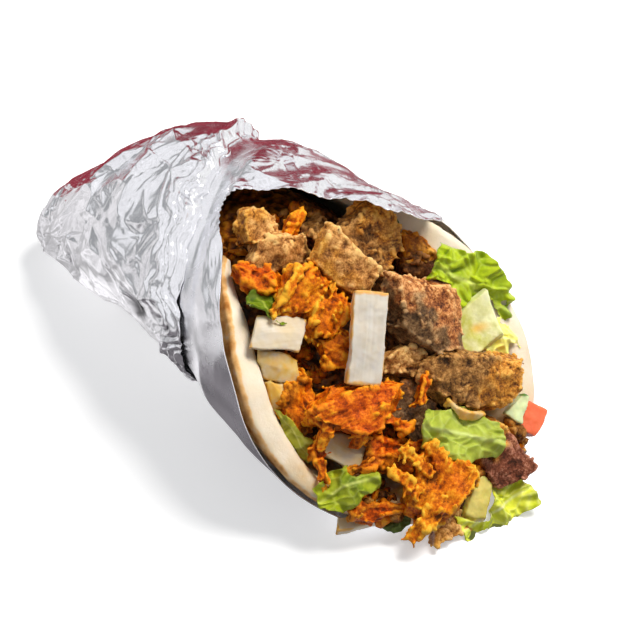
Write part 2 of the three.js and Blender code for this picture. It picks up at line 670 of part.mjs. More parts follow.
// The packed mass of small scraps that the pieces lie in: it fills the bread and the gap between its
// edges, and its open face is as uneven as the scraps that show between the pieces.
function bedInset(x, angle) {
  const { from, to, blend, sinksFrom, sunkBy } = BED_GAP;
  const inBread = 2 * (FOIL + LAYER_GAP) + LAYER_GAP + BREAD + GAP;
  const inGap = smooth(angle, from - blend, from + blend) * (1 - smooth(angle, to - blend, to + blend));
  const raised = THREE.MathUtils.lerp(BREAD, BREAD / 3, smooth(x, sinksFrom, sunkBy));
  return inBread - raised * inGap;
}

function bedGeometry() {
  const random = randomFrom(70);
  const stepsRound = 20;
  const turns = Array.from({ length: stepsRound }, (_, j) => (j * 360) / stepsRound);
  const startX = BREAD_TAIL_X - 2;
  const endX = (angle) => mouthX(angle) - BED_DEPTH - BED_BULGE;
  const rows = [turns.map(() => rollPoint(startX, 0, halfSizes(startX).width))];
  const rings = 5;
  for (let i = 0; i <= rings; i++) {
    rows.push(
      turns.map((angle) => {
        const x = THREE.MathUtils.lerp(startX, endX(angle), i / rings);
        return rollPoint(x, angle, bedInset(x, angle));
      }),
    );
  }
  const centre = mouthCentre.clone().addScaledVector(mouthN, -BED_DEPTH);
  const rim = rows[rows.length - 1];
  const roughness = 3;
  for (const share of [0.78, 0.55, 0.3]) {
    const bulge = () => BED_BULGE * (1 - share) + (random() - 0.5) * roughness;
    rows.push(
      rim.map((point) => point.clone().lerp(centre, 1 - share).addScaledVector(mouthN, bulge())),
    );
  }
  rows.push(turns.map(() => centre.clone().addScaledVector(mouthN, BED_BULGE)));
  const points = [];
  addGrid(points, rows, { around: true });
  return geometryOf(points);
}

// Scraps of meat scattered evenly over the bed's open face, lower towards its rim.
const SCRAPS = { count: 13, reachU: 38, reachV: 42, middleV: -2, lift: -3.5, rimDrop: 3 };

function bedScraps() {
  const random = randomFrom(71);
  const golden = Math.PI * (3 - Math.sqrt(5));
  return Array.from({ length: SCRAPS.count }, (_, k) => {
    const reach = Math.sqrt((k + 0.5) / SCRAPS.count);
    const u = SCRAPS.reachU * reach * Math.cos(k * golden);
    const v = SCRAPS.reachV * reach * Math.sin(k * golden) + SCRAPS.middleV;
    const size = [6 + 3 * random(), 5 + 2 * random(), 4 + 2 * random()];
    const lift = SCRAPS.lift - SCRAPS.rimDrop * reach + 1.5 * random();
    const scrap = { size, seed: 100 + k, crag: 0.7, square: 3, cells: [1, 1, 1] };
    const place = { at: [u, v, lift], spin: 360 * random(), tip: 40 * random() };
    return chunk(scrap).transform(placement(place).elements);
  });
}

// ---------------------------------------------------------------- assembly

const kebab = new THREE.Group();

function addPart(name, solid, look) {
  const mesh = new THREE.Mesh(geometryOfSolid(solid), new THREE.MeshStandardMaterial(look));
  mesh.name = name;
  kebab.add(mesh);
}

const outerFoil = solidOf(outerFoilGeometry());
const innerFoil = solidOf(innerFoilGeometry());
const bread = solidOf(breadGeometry());
const breadClear = solidOf(breadGeometry(GAP));

addPart("foil_outer", outerFoil, { color: 0xcfcfd4, roughness: 0.25, metalness: 1 });
addPart("foil_inner", innerFoil, { color: 0xb9bac0, roughness: 0.3, metalness: 1 });
addPart("bread", bread, { color: 0xf0dcb8, roughness: 0.8 });

// The surface that everything lies on.
const GROUND = { size: 400, depth: 50 };
const ground = solidOf(
  mergeVertices(
    new THREE.BoxGeometry(GROUND.size, GROUND.size, GROUND.depth)
      .translate(0, 0, -GROUND.depth / 2)
      .deleteAttribute("normal")
      .deleteAttribute("uv"),
  ),
);

const walls = breadClear.add(solidOf(innerFoilGeometry(GAP))).add(ground);
let bed = bedScraps().reduce((sum, scrap) => sum.add(scrap), solidOf(bedGeometry())).subtract(walls);
const placed = [];
for (const piece of FILLING) {
  const matrix = placement(piece).elements;
  const made = piece.shape(piece).transform(matrix);
  const clear = piece.shape(piece, GAP).transform(matrix);
  const cut = placed.reduce((left, other) => left.subtract(other), made.subtract(walls));
  const solid = mainBody(cut);
  placed.push(clear);
  bed = bed.subtract(clear);
  addPart(piece.name, solid, COLOURS[piece.of]);
}
addPart("filling_bed", mainBody(bed), { color: 0x5b3117, roughness: 0.6 });

const bounds = new THREE.Box3().setFromObject(kebab);
const middle = bounds.getCenter(new THREE.Vector3());
kebab.position.set(-middle.x, -middle.y, -bounds.min.z);

export default kebab;
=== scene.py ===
"""A doner kebab sandwich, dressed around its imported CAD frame.

The foil and the bread are fine sheets, rebuilt from the same sizes as their solids. The pieces of filling
are grown from the solids: each is remeshed, given its crumbs, fibres, veins or ridges, and coloured by the
relief that this leaves. Lengths are in millimetres until a mesh is made.
"""
import math

import bmesh
import bpy
import numpy as np
from mathutils import Matrix, Vector
from mathutils.bvhtree import BVHTree
from mathutils.geometry import delaunay_2d_cdt


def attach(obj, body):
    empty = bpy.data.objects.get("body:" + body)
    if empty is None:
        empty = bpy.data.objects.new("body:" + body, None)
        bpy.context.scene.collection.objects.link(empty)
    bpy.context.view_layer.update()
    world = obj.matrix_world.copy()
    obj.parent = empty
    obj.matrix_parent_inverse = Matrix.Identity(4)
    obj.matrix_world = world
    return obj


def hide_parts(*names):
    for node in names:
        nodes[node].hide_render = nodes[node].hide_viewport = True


MM = 0.001
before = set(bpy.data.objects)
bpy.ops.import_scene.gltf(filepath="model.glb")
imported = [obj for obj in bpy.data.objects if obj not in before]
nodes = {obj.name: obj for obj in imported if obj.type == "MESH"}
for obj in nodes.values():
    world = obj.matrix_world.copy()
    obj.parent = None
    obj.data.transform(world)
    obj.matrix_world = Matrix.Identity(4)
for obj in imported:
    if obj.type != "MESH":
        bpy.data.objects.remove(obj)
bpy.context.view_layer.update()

# ---- small helpers ----


def smooth(x, low, high):
    t = np.clip((x - low) / (high - low), 0, 1)
    return t * t * (3 - 2 * t)


def mix(a, b, t):
    return a + (b - a) * t


def hill(x, at, spread):
    """1 at a place, and less the further away."""
    return np.exp(-(((x - at) / spread) ** 2))


def bump(angle, at, spread, by=1.0):
    """A hill round the roll."""
    return by * hill((angle - at + 180) % 360 - 180, 0, spread)


def unit(v, spare=0.0):
    """Vectors of length 1. A small spare stands in where there is no length."""
    return v / (np.linalg.norm(v, axis=-1, keepdims=True) + spare)


def joined(x, y=0.0, z=0.0):
    """Points from their x, y and z, each an array or a number."""
    return np.stack(np.broadcast_arrays(x, y, z), -1)


# ---- the roll, as in the solids ----

TAIL_X = -5.0
TAIL_ROUND = 12.0
REFERENCE_LENGTH = 200.0
WIDTH = {"tail": 37.5, "gain": 16.7, "pinch": 6.9, "pinch_length": 65.0, "power": 1.0}
HEIGHT = {"tail": 32.0, "gain": 14.0, "pinch": 16.0, "pinch_length": 28.0, "power": 1.8}
SETTLED = 1.2
TUCK = {"x": 87.0, "long": 24.0, "at": 212.0, "spread": 26.0, "by": 6.0, "slack": 0.8}
MOUTH = {"middle_x": 149.6, "slant": 36.1, "skew": 8.3, "middle_z": 42.0, "foot_z": 2.0}
NEAR_REACH = {"at": 174.0, "spread": 30.0, "by": 7.0}

FOIL_SOLID = 0.9  # the solids' thickness of foil, and the gap between their layers
LAYER_GAP = 0.4
FOIL_SHEET = 0.25  # the thickness of foil that shows here
OUTER_EDGE = {"middle_x": 78.0, "swing": 30.0, "turn": 190.0}
SET_BACK = {"at": 108.0, "spread": 17.0, "by": 17.0}
OVERHANG = {"at": 60.0, "spread": 19.0, "by": 22.0}
UNDERLAP = 24.0
SHORT_OF_RIM = 2.0
CREASES = ((1.5, 0.085, 3, 0.4), (1.1, -0.14, 5, 1.9), (0.8, 0.23, 8, 2.7))  # height, along, round, shift
HIGHEST_ANGLE = 80.0

BREAD = 9.0
BREAD_TAIL_X = 8.0
BREAD_FROM, BREAD_TO = -232.0, 66.0
BREAD_TAPER = 30.0
BREAD_EDGE = 3.2
BREAD_THIN = {"at": 226.0, "spread": 27.0, "by": 3.4}
RIM_ROUND = 2.6


def half_sizes(x):
    """Half width, half height, and the half height without the rounding of the tail."""
    cap = np.clip((TAIL_X + TAIL_ROUND - x) / TAIL_ROUND, 0, None)
    closing = np.clip(1 - cap**4, 0, None) ** 0.25

    def size(s):
        pinch = s["pinch"] * np.exp(-((np.clip(x, 0, None) / s["pinch_length"]) ** s["power"]))
        return s["tail"] + s["gain"] * x / REFERENCE_LENGTH - pinch

    return size(WIDTH) * closing, size(HEIGHT) * closing, size(HEIGHT)


def tucked(x, angle):
    """1 in the middle of the tuck low on the near side, and 0 away from it."""
    return hill(x, TUCK["x"], TUCK["long"]) * bump(angle, TUCK["at"], TUCK["spread"])


def roll_point(x, angle, inset=0.0):
    """Points on the roll. Angle 0 is the far side, 90 the top, 180 the near side and 270 the underside."""
    width, height, full = half_sizes(x)
    share = height / full
    turn = np.radians(angle)
    inwards = (inset + TUCK["by"] * tucked(x, angle)) * share
    y = (width - inwards) * np.cos(turn)
    z = full - SETTLED + (height - inwards) * np.sin(turn)
    return joined(x + inset * (1 - share), y, np.maximum(z, np.maximum(inset, 0)))


def mouth_x(angle):
    turn = np.radians(angle)
    return MOUTH["middle_x"] - MOUTH["slant"] * np.sin(turn) + MOUTH["skew"] * np.cos(turn)


def outer_edge_x(angle):
    return OUTER_EDGE["middle_x"] + OUTER_EDGE["swing"] * np.cos(np.radians(angle - OUTER_EDGE["turn"]))


def inner_edge_x(angle):
    reach = bump(angle, **NEAR_REACH) - SHORT_OF_RIM
    return mouth_x(angle) + reach - bump(angle, **SET_BACK) + bump(angle, **OVERHANG)


def creases(x, angle):
    turn = np.radians(angle)
    return sum(h * (1 - np.abs(np.sin(a * x + r * turn / 2 + s))) for h, a, r, s in CREASES)


def over_top(angle):
    return np.clip(np.cos(np.radians(angle - HIGHEST_ANGLE)), 0, None)


def bread_depth(x, angle):
    past = smooth(x - outer_edge_x(angle), 8, 40)
    return (FOIL_SOLID + LAYER_GAP) * (2 - past) + LAYER_GAP + 2 * TUCK["slack"] * tucked(x, angle)


def bread_thickness(angle):
    edge = np.minimum(angle - BREAD_FROM, BREAD_TO - angle) / BREAD_TAPER
    return mix(BREAD_EDGE, BREAD - bump(angle, **BREAD_THIN), np.sqrt(np.clip(edge, 0, 1)))


def rim_x(angle):
    near = 9 * (1 - smooth(angle, BREAD_FROM, BREAD_FROM + 26))
    far = 12 * smooth(angle, BREAD_TO - 22, BREAD_TO)
    return mouth_x(angle) + bump(angle, **NEAR_REACH) - near - far


def points_of(mesh):
    co = np.empty(len(mesh.vertices) * 3)
    mesh.vertices.foreach_get("co", co)
    return co.reshape(-1, 3)


# The tail's tip lies on the roll's axis, so it says where the roll's own x, y and z lie in the frame.
tail_points = points_of(nodes["foil_outer"].data) / MM
TIP = tail_points[tail_points[:, 0].argmin()]
TO_FRAME = TIP - [TAIL_X, 0, half_sizes(TAIL_X)[2] - SETTLED]
TO_FRAME[2] = 0

# The plane of the mouth: u across it, v up its slope and n out of it.
MOUTH_CENTRE = TO_FRAME + [MOUTH["middle_x"], 0, MOUTH["middle_z"]]
MOUTH_U = unit(np.array([MOUTH["skew"], half_sizes(MOUTH["middle_x"])[0], 0]))
MOUTH_N = unit(np.cross([MOUTH["slant"], 0, MOUTH["foot_z"] - MOUTH["middle_z"]], MOUTH_U))
MOUTH_V = np.cross(MOUTH_N, MOUTH_U)
MOUTH_WAYS = np.stack([MOUTH_U, MOUTH_V, MOUTH_N])

# ---- random fields ----


PRIMES = (73856093, 19349663, 83492791)
SEED_STRIDE = 2654435761
SCRAMBLER = 0x45D9F3B
MOST = 0xFFFFFFFF


def hashed(cell, seed):
    """A random number from 0 to 1 for each cell, which is three whole numbers."""
    h = (np.bitwise_xor.reduce(cell * PRIMES, axis=-1) ^ (seed * SEED_STRIDE)) & MOST
    for _ in range(2):
        h = ((h ^ (h >> 16)) * SCRAMBLER) & MOST
    return (h ^ (h >> 16)) / MOST


def noise(p, size, seed):
    """Smooth random values from about -1 to 1 at the points p. A size of lumps is a number or x, y, z."""
    q = p / np.asarray(size, float)
    cell = np.floor(q).astype(np.int64)
    f = q - cell
    f = f * f * f * (f * (f * 6 - 15) + 10)
    total = np.zeros(p.shape[:-1])
    for corner in np.ndindex(2, 2, 2):
        total += np.prod(np.where(corner, f, 1 - f), axis=-1) * hashed(cell + corner, seed)
    return (total * 2 - 1) * 1.3


def fractal(p, size, seed, octaves=3):
    size = np.asarray(size, float)
    return sum(noise(p, size / 2**k, seed + k) / 2**k for k in range(octaves)) / 1.5


def drift(p, size, seed):
    """A random way for each point."""
    return np.stack([noise(p, size, seed + k) for k in range(3)], -1)


def neighbours(p, size, seed):
    """For the 27 cells round each point: the way to it from the cell's random centre, and the cell."""
    q = p / np.asarray(size, float)
    cell = np.floor(q).astype(np.int64)
    for step in np.ndindex(3, 3, 3):
        key = cell + (np.array(step) - 1)
        centre = key + np.stack([hashed(key, seed + k) for k in range(3)], -1)
        yield q - centre, key


def cells(p, size, seed):
    """Distances to the nearest random centre and to the one after it, in cells."""
    best = np.full(len(p), 9.0)
    second = best.copy()
    for away, _ in neighbours(p, size, seed):
        now = (away**2).sum(1)
        second = np.minimum(second, np.maximum(best, now))
        best = np.minimum(best, now)
    return np.sqrt(best), np.sqrt(second)


def clumps(p, size, seed):
    """Rounded clumps with sharp clefts between them, smaller ones on larger ones. About -1 to 1."""
    warped = p + drift(p, size * 1.5, seed + 30) * size * 0.4
    layers = [np.abs(noise(warped, size / 1.9**k, seed + k)) for k in range(3)]
    return sum((2.2 * layer - 0.8) / 1.7**k for k, layer in enumerate(layers)) / 1.8


def facets(p, size, seed):
    """Nearly flat facets, each tilted at random, that meet in sharp edges: torn meat. About -1 to 1."""
    tilt, curve = 1.1, 0.9
    ridges = np.full(len(p), -9.0)
    valleys = np.full(len(p), 9.0)
    for away, key in neighbours(p, size, seed):
        lean = np.stack([hashed(key, seed + 10 + k) for k in range(3)], -1) * 2 - 1
        plane = (away * lean).sum(1) * tilt
        bowl = curve * (away**2).sum(1)
        ridges = np.maximum(ridges, plane - bowl)
        valleys = np.minimum(valleys, plane + bowl)
    return ridges + valleys


# ---- meshes ----


def new_mesh(name, points, faces):
    mesh = bpy.data.meshes.new(name)
    mesh.from_pydata(points, [], faces)
    return mesh


def new_object(name, data):
    made = bpy.data.objects.new(name, data)
    bpy.context.scene.collection.objects.link(made)
    return made


def add_piece(name, points, faces, attributes):
    """A smooth mesh object from points in millimetres, with values at its points."""
    mesh = new_mesh(name, (points * MM).tolist(), faces.tolist())
    for key, values in attributes.items():
        mesh.attributes.new(key, "FLOAT", "POINT").data.foreach_set("value", values.astype(np.float32))
    mesh.polygons.foreach_set("use_smooth", np.ones(len(mesh.polygons), bool))
    mesh.update()
    return new_object(name, mesh)


def weld(made):
    """Joins points that lie on each other and turns every face outwards."""
    work = bmesh.new()
    work.from_mesh(made.data)
    bmesh.ops.remove_doubles(work, verts=work.verts, dist=0.004 * MM)
    bmesh.ops.dissolve_degenerate(work, edges=work.edges, dist=0.002 * MM)
    bmesh.ops.recalc_face_normals(work, faces=work.faces)
    work.to_mesh(made.data)
    work.free()


def dress(made, material, slot, *replaced):
    made.data.materials.append(material)
    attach(made, "root")
    if replaced:
        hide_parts(*replaced)


def grid_quads(rows, cols, around):
    i, j = np.meshgrid(np.arange(rows - 1), np.arange(cols if around else cols - 1), indexing="ij")
    k = (j + 1) % cols
    return np.stack([i * cols + j, (i + 1) * cols + j, (i + 1) * cols + k, i * cols + k], -1).reshape(-1, 4)


def sheet_faces(rows, cols, around):
    """Faces of a closed sheet: its upper grid of points comes first, then its lower grid."""
    count = rows * cols
    upper = grid_quads(rows, cols, around)
    j = np.arange(cols if around else cols - 1)
    k = (j + 1) % cols
    last = (rows - 1) * cols
    sides = [(j, k), (last + k, last + j)]
    if not around:
        i = np.arange(rows - 1) * cols
        sides += [(i + cols, i), (i + cols - 1, i + 2 * cols - 1)]
    walls = [np.stack([a, b, b + count, a + count], -1) for a, b in sides]
    return np.concatenate([upper, upper[:, ::-1] + count, *walls])


def sheet(name, top, under, around, material, slot, node, **values):
    """A closed sheet between two grids of points on the roll, with values for both grids."""
    rows, cols = top.shape[:2]
    points = np.concatenate([top.reshape(-1, 3), under.reshape(-1, 3)]) + TO_FRAME
    values = {key: np.ravel(both) for key, both in values.items()}
    made = add_piece(name, points, sheet_faces(rows, cols, around), values)
    weld(made)
    dress(made, material, slot, node)


def arrays_of(work):
    """The points and faces of a bmesh, which is freed."""
    points = np.array([v.co for v in work.verts])
    faces = np.array([[v.index for v in f.verts] for f in work.faces])
    work.free()
    return points, faces


def triangles_of(node):
    """A CAD node as points and triangles, its points joined."""
    work = bmesh.new()
    work.from_mesh(node.data)
    bmesh.ops.remove_doubles(work, verts=work.verts, dist=0.01 * MM)
    bmesh.ops.triangulate(work, faces=work.faces)
    points, faces = arrays_of(work)
    return points / MM, faces


def ball(level):
    work = bmesh.new()
    bmesh.ops.create_icosphere(work, subdivisions=level, radius=1)
    return arrays_of(work)


BALL = ball(1)
FINE_BALL = ball(2)


def many(shapes):
    """Joins shapes, each points and triangles, into one."""
    points, faces = zip(*shapes)
    shift = np.cumsum([0, *map(len, points[:-1])])
    return np.concatenate(points), np.concatenate([f + s for f, s in zip(faces, shift)])


def remeshed(points, faces, voxel):
    """The outside of one or more overlapping closed shapes, as even quads."""
    raw = new_mesh("raw", points.tolist(), faces.tolist())
    made = new_object("raw", raw)
    step = made.modifiers.new("voxels", "REMESH")
    step.mode = "VOXEL"
    step.voxel_size = voxel
    whole = made.evaluated_get(bpy.context.evaluated_depsgraph_get())
    mesh = whole.to_mesh()
    quads = np.empty(len(mesh.polygons) * 4, np.int32)
    mesh.polygons.foreach_get("vertices", quads)
    body = largest_body(points_of(mesh), quads.reshape(-1, 4))
    whole.to_mesh_clear()
    bpy.data.objects.remove(made)
    bpy.data.meshes.remove(raw)
    return body


def largest_body(points, quads):
    """Leaves out loose crumbs that the remeshing cut off."""
    label = np.arange(len(points))
    while True:
        lowest = label[quads].min(1)
        new = label.copy()
        for k in range(4):
            np.minimum.at(new, quads[:, k], lowest)
        new = new[new]
        if (new == label).all():
            break
        label = new
    kept = label == np.bincount(label[quads[:, 0]]).argmax()
    renumber = np.cumsum(kept) - 1
    return points[kept], renumber[quads[kept[quads[:, 0]]]]


def gather(index, values, count):
    return np.stack([np.bincount(index, values[:, k], count) for k in range(3)], -1)


def normals_of(points, quads):
    a, b, c, d = (points[quads[:, k]] for k in range(4))
    total = gather(quads.reshape(-1), np.repeat(np.cross(c - a, d - b), 4, 0), len(points))
    return unit(total, 1e-9)


def relaxed(points, quads, rounds):
    """Each point moves towards the middle of its neighbours, again and again."""
    a = quads.reshape(-1)
    b = np.roll(quads, -1, 1).reshape(-1)
    count = np.bincount(a, minlength=len(points)) + np.bincount(b, minlength=len(points))
    for _ in range(rounds):
        near = gather(a, points[b], len(points)) + gather(b, points[a], len(points))
        points = mix(points, near / count[:, None], 0.6)
    return points


def relief(points, quads, rounds):
    """How far each point stands out of the surface round it, in millimetres."""
    flat = relaxed(points, quads, rounds)
    return ((points - flat) * normals_of(flat, quads)).sum(1)


def raised(points, quads, height, rounds=0):
    """Each point moves by its height out of the surface, or out of one relaxed so many rounds."""
    return points + normals_of(relaxed(points, quads, rounds), quads) * np.reshape(height, (-1, 1))


def area_ways(points, faces):
    """Each triangle's first corner, its two sides from there, and their cross product."""
    a, b, c = (points[faces[:, k]] for k in range(3))
    return a, b - a, c - a, np.cross(b - a, c - a)


def scatter_on(points, faces, count, random):
    """Random places on a surface: their points, and which way the surface faces there."""
    a, ab, ac, face = area_ways(points, faces)
    area = np.linalg.norm(face, axis=1)
    pick = random.choice(len(faces), count, p=area / area.sum())
    r, s = random.random(count), random.random(count)
    flip = r + s > 1
    r, s = np.where(flip, 1 - r, r)[:, None], np.where(flip, 1 - s, s)[:, None]
    return a[pick] + r * ab[pick] + s * ac[pick], face[pick] / area[pick, None]


def on_edges(points, faces, spacing, random):
    """Random places along a solid's sharp outer edges, about one for each length of spacing."""
    facing = unit(area_ways(points, faces)[3], 1e-9)
    middle = points[faces].sum(1) / 3
    sides = np.sort(np.concatenate([faces[:, [0, 1]], faces[:, [1, 2]], faces[:, [2, 0]]]), 1)
    owner = np.tile(np.arange(len(faces)), 3)
    order = np.lexsort((sides[:, 1], sides[:, 0]))
    sides, owner = sides[order], owner[order]
    shared = (sides[1:] == sides[:-1]).all(1)
    first, second, ends = owner[:-1][shared], owner[1:][shared], sides[:-1][shared]
    outer = ((middle[second] - middle[first]) * facing[first]).sum(1) < 0
    sharp = (facing[first] * facing[second]).sum(1) < math.cos(math.radians(28))
    ends = ends[outer & sharp]
    starts, runs = points[ends[:, 0]], points[ends[:, 1]] - points[ends[:, 0]]
    length = np.linalg.norm(runs, axis=1)
    pick = random.choice(len(ends), int(length.sum() / spacing), p=length / length.sum())
    return starts[pick] + runs[pick] * random.random((len(pick), 1))


def lumps(centres, radii, random):
    """Small uneven balls."""
    points, faces = BALL
    count = len(points)
    stretch = mix(0.7, 1.3, random.random((len(centres), 1, 3)))
    dented = mix(0.85, 1.15, random.random((len(centres), count, 1)))
    all_points = centres[:, None] + points * stretch * dented * radii[:, None, None]
    all_faces = faces + (np.arange(len(centres)) * count)[:, None, None]
    return all_points.reshape(-1, 3), all_faces.reshape(-1, 3)


def tube(path, radii):
    """A closed six-sided tube along a path."""
    sides = 6
    along = unit(np.gradient(path, axis=0), 1e-9)
    side = unit(np.cross(along, (0.31, 0.45, 0.84)), 1e-9)
    other = np.cross(along, side)
    turn = (np.arange(sides) * 2 * math.pi / sides)[:, None]
    ring = side[:, None] * np.cos(turn) + other[:, None] * np.sin(turn)
    points = (path[:, None] + ring * radii[:, None, None]).reshape(-1, 3)
    quads = grid_quads(len(path), sides, True)
    first, last = len(points), len(points) + 1
    j = np.arange(sides)
    k = (j + 1) % sides
    end = (len(path) - 1) * sides
    caps = joined(first, j, k), joined(last, end + k, end + j)
    faces = np.concatenate([quads[:, [0, 2, 1]], quads[:, [0, 3, 2]], *caps])
    return np.concatenate([points, path[:1], path[-1:]]), faces


def strand(start, way, length, radius, random, bend, steps=7):
    """A torn fibre: a bent tube that thins towards both ends."""
    t = np.linspace(0, 1, steps)
    wander = np.cumsum(random.normal(0, bend, (steps, 3)) * length / steps / 2, axis=0)
    path = start + way * (t * length)[:, None] + wander - wander[0]
    swell = 0.35 + 0.65 * np.sin(math.pi * np.clip(t * 0.9 + 0.08, 0, 1))
    return tube(path, radius * swell * mix(0.8, 1.2, random.random(steps)))


def axes_of(points):
    """Middle of some points, and their long, middle and short axes as rows, with their half sizes."""
    middle = (points.max(0) + points.min(0)) / 2
    ways = np.linalg.eigh(np.cov((points - points.mean(0)).T))[1].T[::-1]
    local = (points - middle) @ ways.T
    middle = middle + ((local.max(0) + local.min(0)) / 2) @ ways
    return middle, ways, (local.max(0) - local.min(0)) / 2


# ---- materials ----


class Nodes:
    """A new material's node tree, with short ways to add what the materials here are made of."""

    def __init__(self, name):
        self.material = bpy.data.materials.new(name)
        self.material.use_nodes = True
        self.tree = self.material.node_tree
        self.shader = self.tree.nodes["Principled BSDF"]
        self.place = self.tree.nodes.new("ShaderNodeTexCoord").outputs["Object"]

    def fill(self, made, **inputs):
        for key, value in inputs.items():
            self.put(made.inputs[key.replace("_", " ")], value)
        return made

    def set(self, **inputs):
        self.fill(self.shader, **inputs)

    def add(self, kind, **inputs):
        return self.fill(self.tree.nodes.new(kind), **inputs)

    def put(self, socket, value):
        if isinstance(value, bpy.types.NodeSocket):
            self.tree.links.new(value, socket)
        else:
            socket.default_value = value

    def value(self, name):
        made = self.add("ShaderNodeAttribute")
        made.attribute_name = name
        return made.outputs["Fac"]

    def grain(self, size, detail=3.0, rough=0.55, stretch=(1, 1, 1)):
        """Noise in lumps of a size in millimetres."""
        where = self.add("ShaderNodeMapping", Vector=self.place, Scale=stretch).outputs["Vector"]
        made = self.add("ShaderNodeTexNoise", Vector=where, Scale=1 / (size * MM))
        return self.fill(made, Detail=detail, Roughness=rough).outputs["Fac"]

    def math(self, kind, a, b):
        made = self.add("ShaderNodeMath")
        made.operation = kind
        self.put(made.inputs[0], a)
        self.put(made.inputs[1], b)
        return made.outputs[0]

    def times(self, a, b):
        return self.math("MULTIPLY", a, b)

    def total(self, first, *others):
        for other in others:
            first = self.math("ADD", first, other)
        return first

    def sway(self, by, *grain):
        """Grain about nought, from -by / 2 to by / 2."""
        return self.times(self.math("SUBTRACT", self.grain(*grain), 0.5), by)

    def ramp(self, value, *stops):
        """Colours or grey values at places from 0 to 1."""
        made = self.add("ShaderNodeValToRGB", Fac=value)
        elements = made.color_ramp.elements
        while len(elements) < len(stops):
            elements.new(0.5)
        for element, (at, colour) in zip(elements, stops):
            element.position = at
            element.color = (*colour, 1) if isinstance(colour, tuple) else (colour, colour, colour, 1)
        return made.outputs["Color"]

    def blend(self, share, a, b):
        made = self.add("ShaderNodeMix")
        made.data_type = "RGBA"
        for socket, value in ((made.inputs[0], share), (made.inputs[6], a), (made.inputs[7], b)):
            self.put(socket, (*value, 1) if isinstance(value, tuple) else value)
        return made.outputs[2]

    def bumps(self, height, strength, distance):
        """Fine relief: height from 0 to 1 stands for a distance in millimetres."""
        made = self.add("ShaderNodeBump", Height=height, Strength=strength, Distance=distance * MM)
        if self.shader.inputs["Normal"].is_linked:
            self.put(made.inputs["Normal"], self.shader.inputs["Normal"].links[0].from_socket)
        self.put(self.shader.inputs["Normal"], made.outputs["Normal"])

    def soft(self, weight, *radius):
        """Light goes some way in before it comes out: millimetres for red, green and blue."""
        self.set(Subsurface_Weight=weight, Subsurface_Radius=[r * MM for r in radius], Subsurface_Scale=1.0)


# Meat colours, from its hollows to its edges; the darkest stand for painted shade in the hollows.
MEATS = {
    "tan": ((0.08, 0.022, 0.004), (0.34, 0.13, 0.028), (0.62, 0.29, 0.078), (0.86, 0.52, 0.18)),
    "olive": ((0.024, 0.008, 0.002), (0.14, 0.056, 0.012), (0.32, 0.14, 0.032), (0.56, 0.29, 0.085)),
    "grey": ((0.018, 0.007, 0.003), (0.078, 0.036, 0.013), (0.18, 0.092, 0.035), (0.38, 0.22, 0.095)),
    "warm": ((0.035, 0.006, 0.003), (0.22, 0.055, 0.012), (0.54, 0.205, 0.055), (0.86, 0.48, 0.19)),
    "brown": ((0.01, 0.002, 0.001), (0.05, 0.014, 0.003), (0.13, 0.042, 0.009), (0.32, 0.125, 0.03)),
    "crust": ((0.014, 0.002, 0.001), (0.08, 0.015, 0.006), (0.21, 0.055, 0.026), (0.48, 0.2, 0.12)),
    "golden": ((0.06, 0.015, 0.002), (0.32, 0.105, 0.008), (0.58, 0.225, 0.022), (0.82, 0.43, 0.08)),
}
CHICKENS = {
    "orange": ((0.1, 0.014, 0.001), (0.44, 0.072, 0.001), (0.69, 0.16, 0.002), (0.86, 0.35, 0.014)),
    "yellow": ((0.12, 0.024, 0.001), (0.5, 0.115, 0.002), (0.75, 0.245, 0.005), (0.9, 0.47, 0.035)),
    "brown": ((0.04, 0.008, 0.001), (0.2, 0.044, 0.002), (0.42, 0.105, 0.003), (0.7, 0.25, 0.012)),
    "red": ((0.08, 0.008, 0.001), (0.38, 0.042, 0.001), (0.64, 0.105, 0.002), (0.82, 0.24, 0.01)),
    "golden": MEATS["golden"],
}


def meat_material(name, first, second, fibres=False):
    """Meat of two looks that the attribute 'blend' mixes, with painted shade darkening its pits, and lighter
    on its edges, partly its own browning and partly painted highlight.
    """
    n = Nodes(name)
    # Painted shade and highlight: low relief darkens the colour and high relief lightens it.
    relief_shade = n.total(n.times(n.value("fine"), 1.5), n.times(n.value("broad"), 0.24))
    specks = n.sway(0.9 if fibres else 1.2, 0.55, 3.0, 0.6)
    tone = n.total(relief_shade, n.sway(1.25, 3.6), specks, 0.5)
    shades = [n.ramp(tone, *zip((0.10, 0.36, 0.62, 0.90), colours)) for colours in (first, second)]
    n.set(Base_Color=n.blend(n.value("blend"), *shades))
    n.set(Roughness=n.ramp(n.grain(1.2, 2.0), (0.3, 0.38 if fibres else 0.30), (0.7, 0.62)))
    n.set(Specular_IOR_Level=0.35, Specular_Tint=(1.0, 0.62, 0.22, 1) if fibres else (1.0, 0.72, 0.45, 1))
    n.set(Coat_Weight=0.04 if fibres else 0.10, Coat_Roughness=0.2)
    n.soft(0.08, 1.4, 0.5, 0.2)
    n.bumps(n.grain(0.5, 4.0, 0.7), 0.9, 0.14 if fibres else 0.22)
    return n.material


def onion_material(name, stain):
    """Onion: pale and half clear, with faint fine lines along it and a yellow stain on its edges."""
    n = Nodes(name)
    pale = n.blend(n.ramp(n.value("lines"), (0.1, 0.0), (0.9, 1.0)), (0.625, 0.575, 0.51), (0.67, 0.63, 0.57))
    cloud = n.ramp(n.grain(5.0, 2.0), (0.25, 0.2), (0.65, 1.0))
    pale = n.blend(n.times(cloud, min(1.0, 0.1 + 2.4 * stain)), pale, (0.70, 0.45, 0.06))
    edge = n.total(n.times(n.value("rim"), 0.70), n.sway(1.0, 3.5), stain - 0.24)
    edge = n.times(n.ramp(edge, (0.10, 0.0), (0.45, 1.0)), 0.85)
    n.set(Base_Color=n.blend(edge, pale, (0.70, 0.34, 0.022)))
    n.set(Roughness=0.38, Specular_IOR_Level=0.4, Coat_Weight=0.08, Coat_Roughness=0.2)
    n.soft(0.35, 2.0, 1.6, 1.0)
    n.bumps(n.grain(0.5, stretch=(1, 1, 0.4)), 0.3, 0.08)
    return n.material


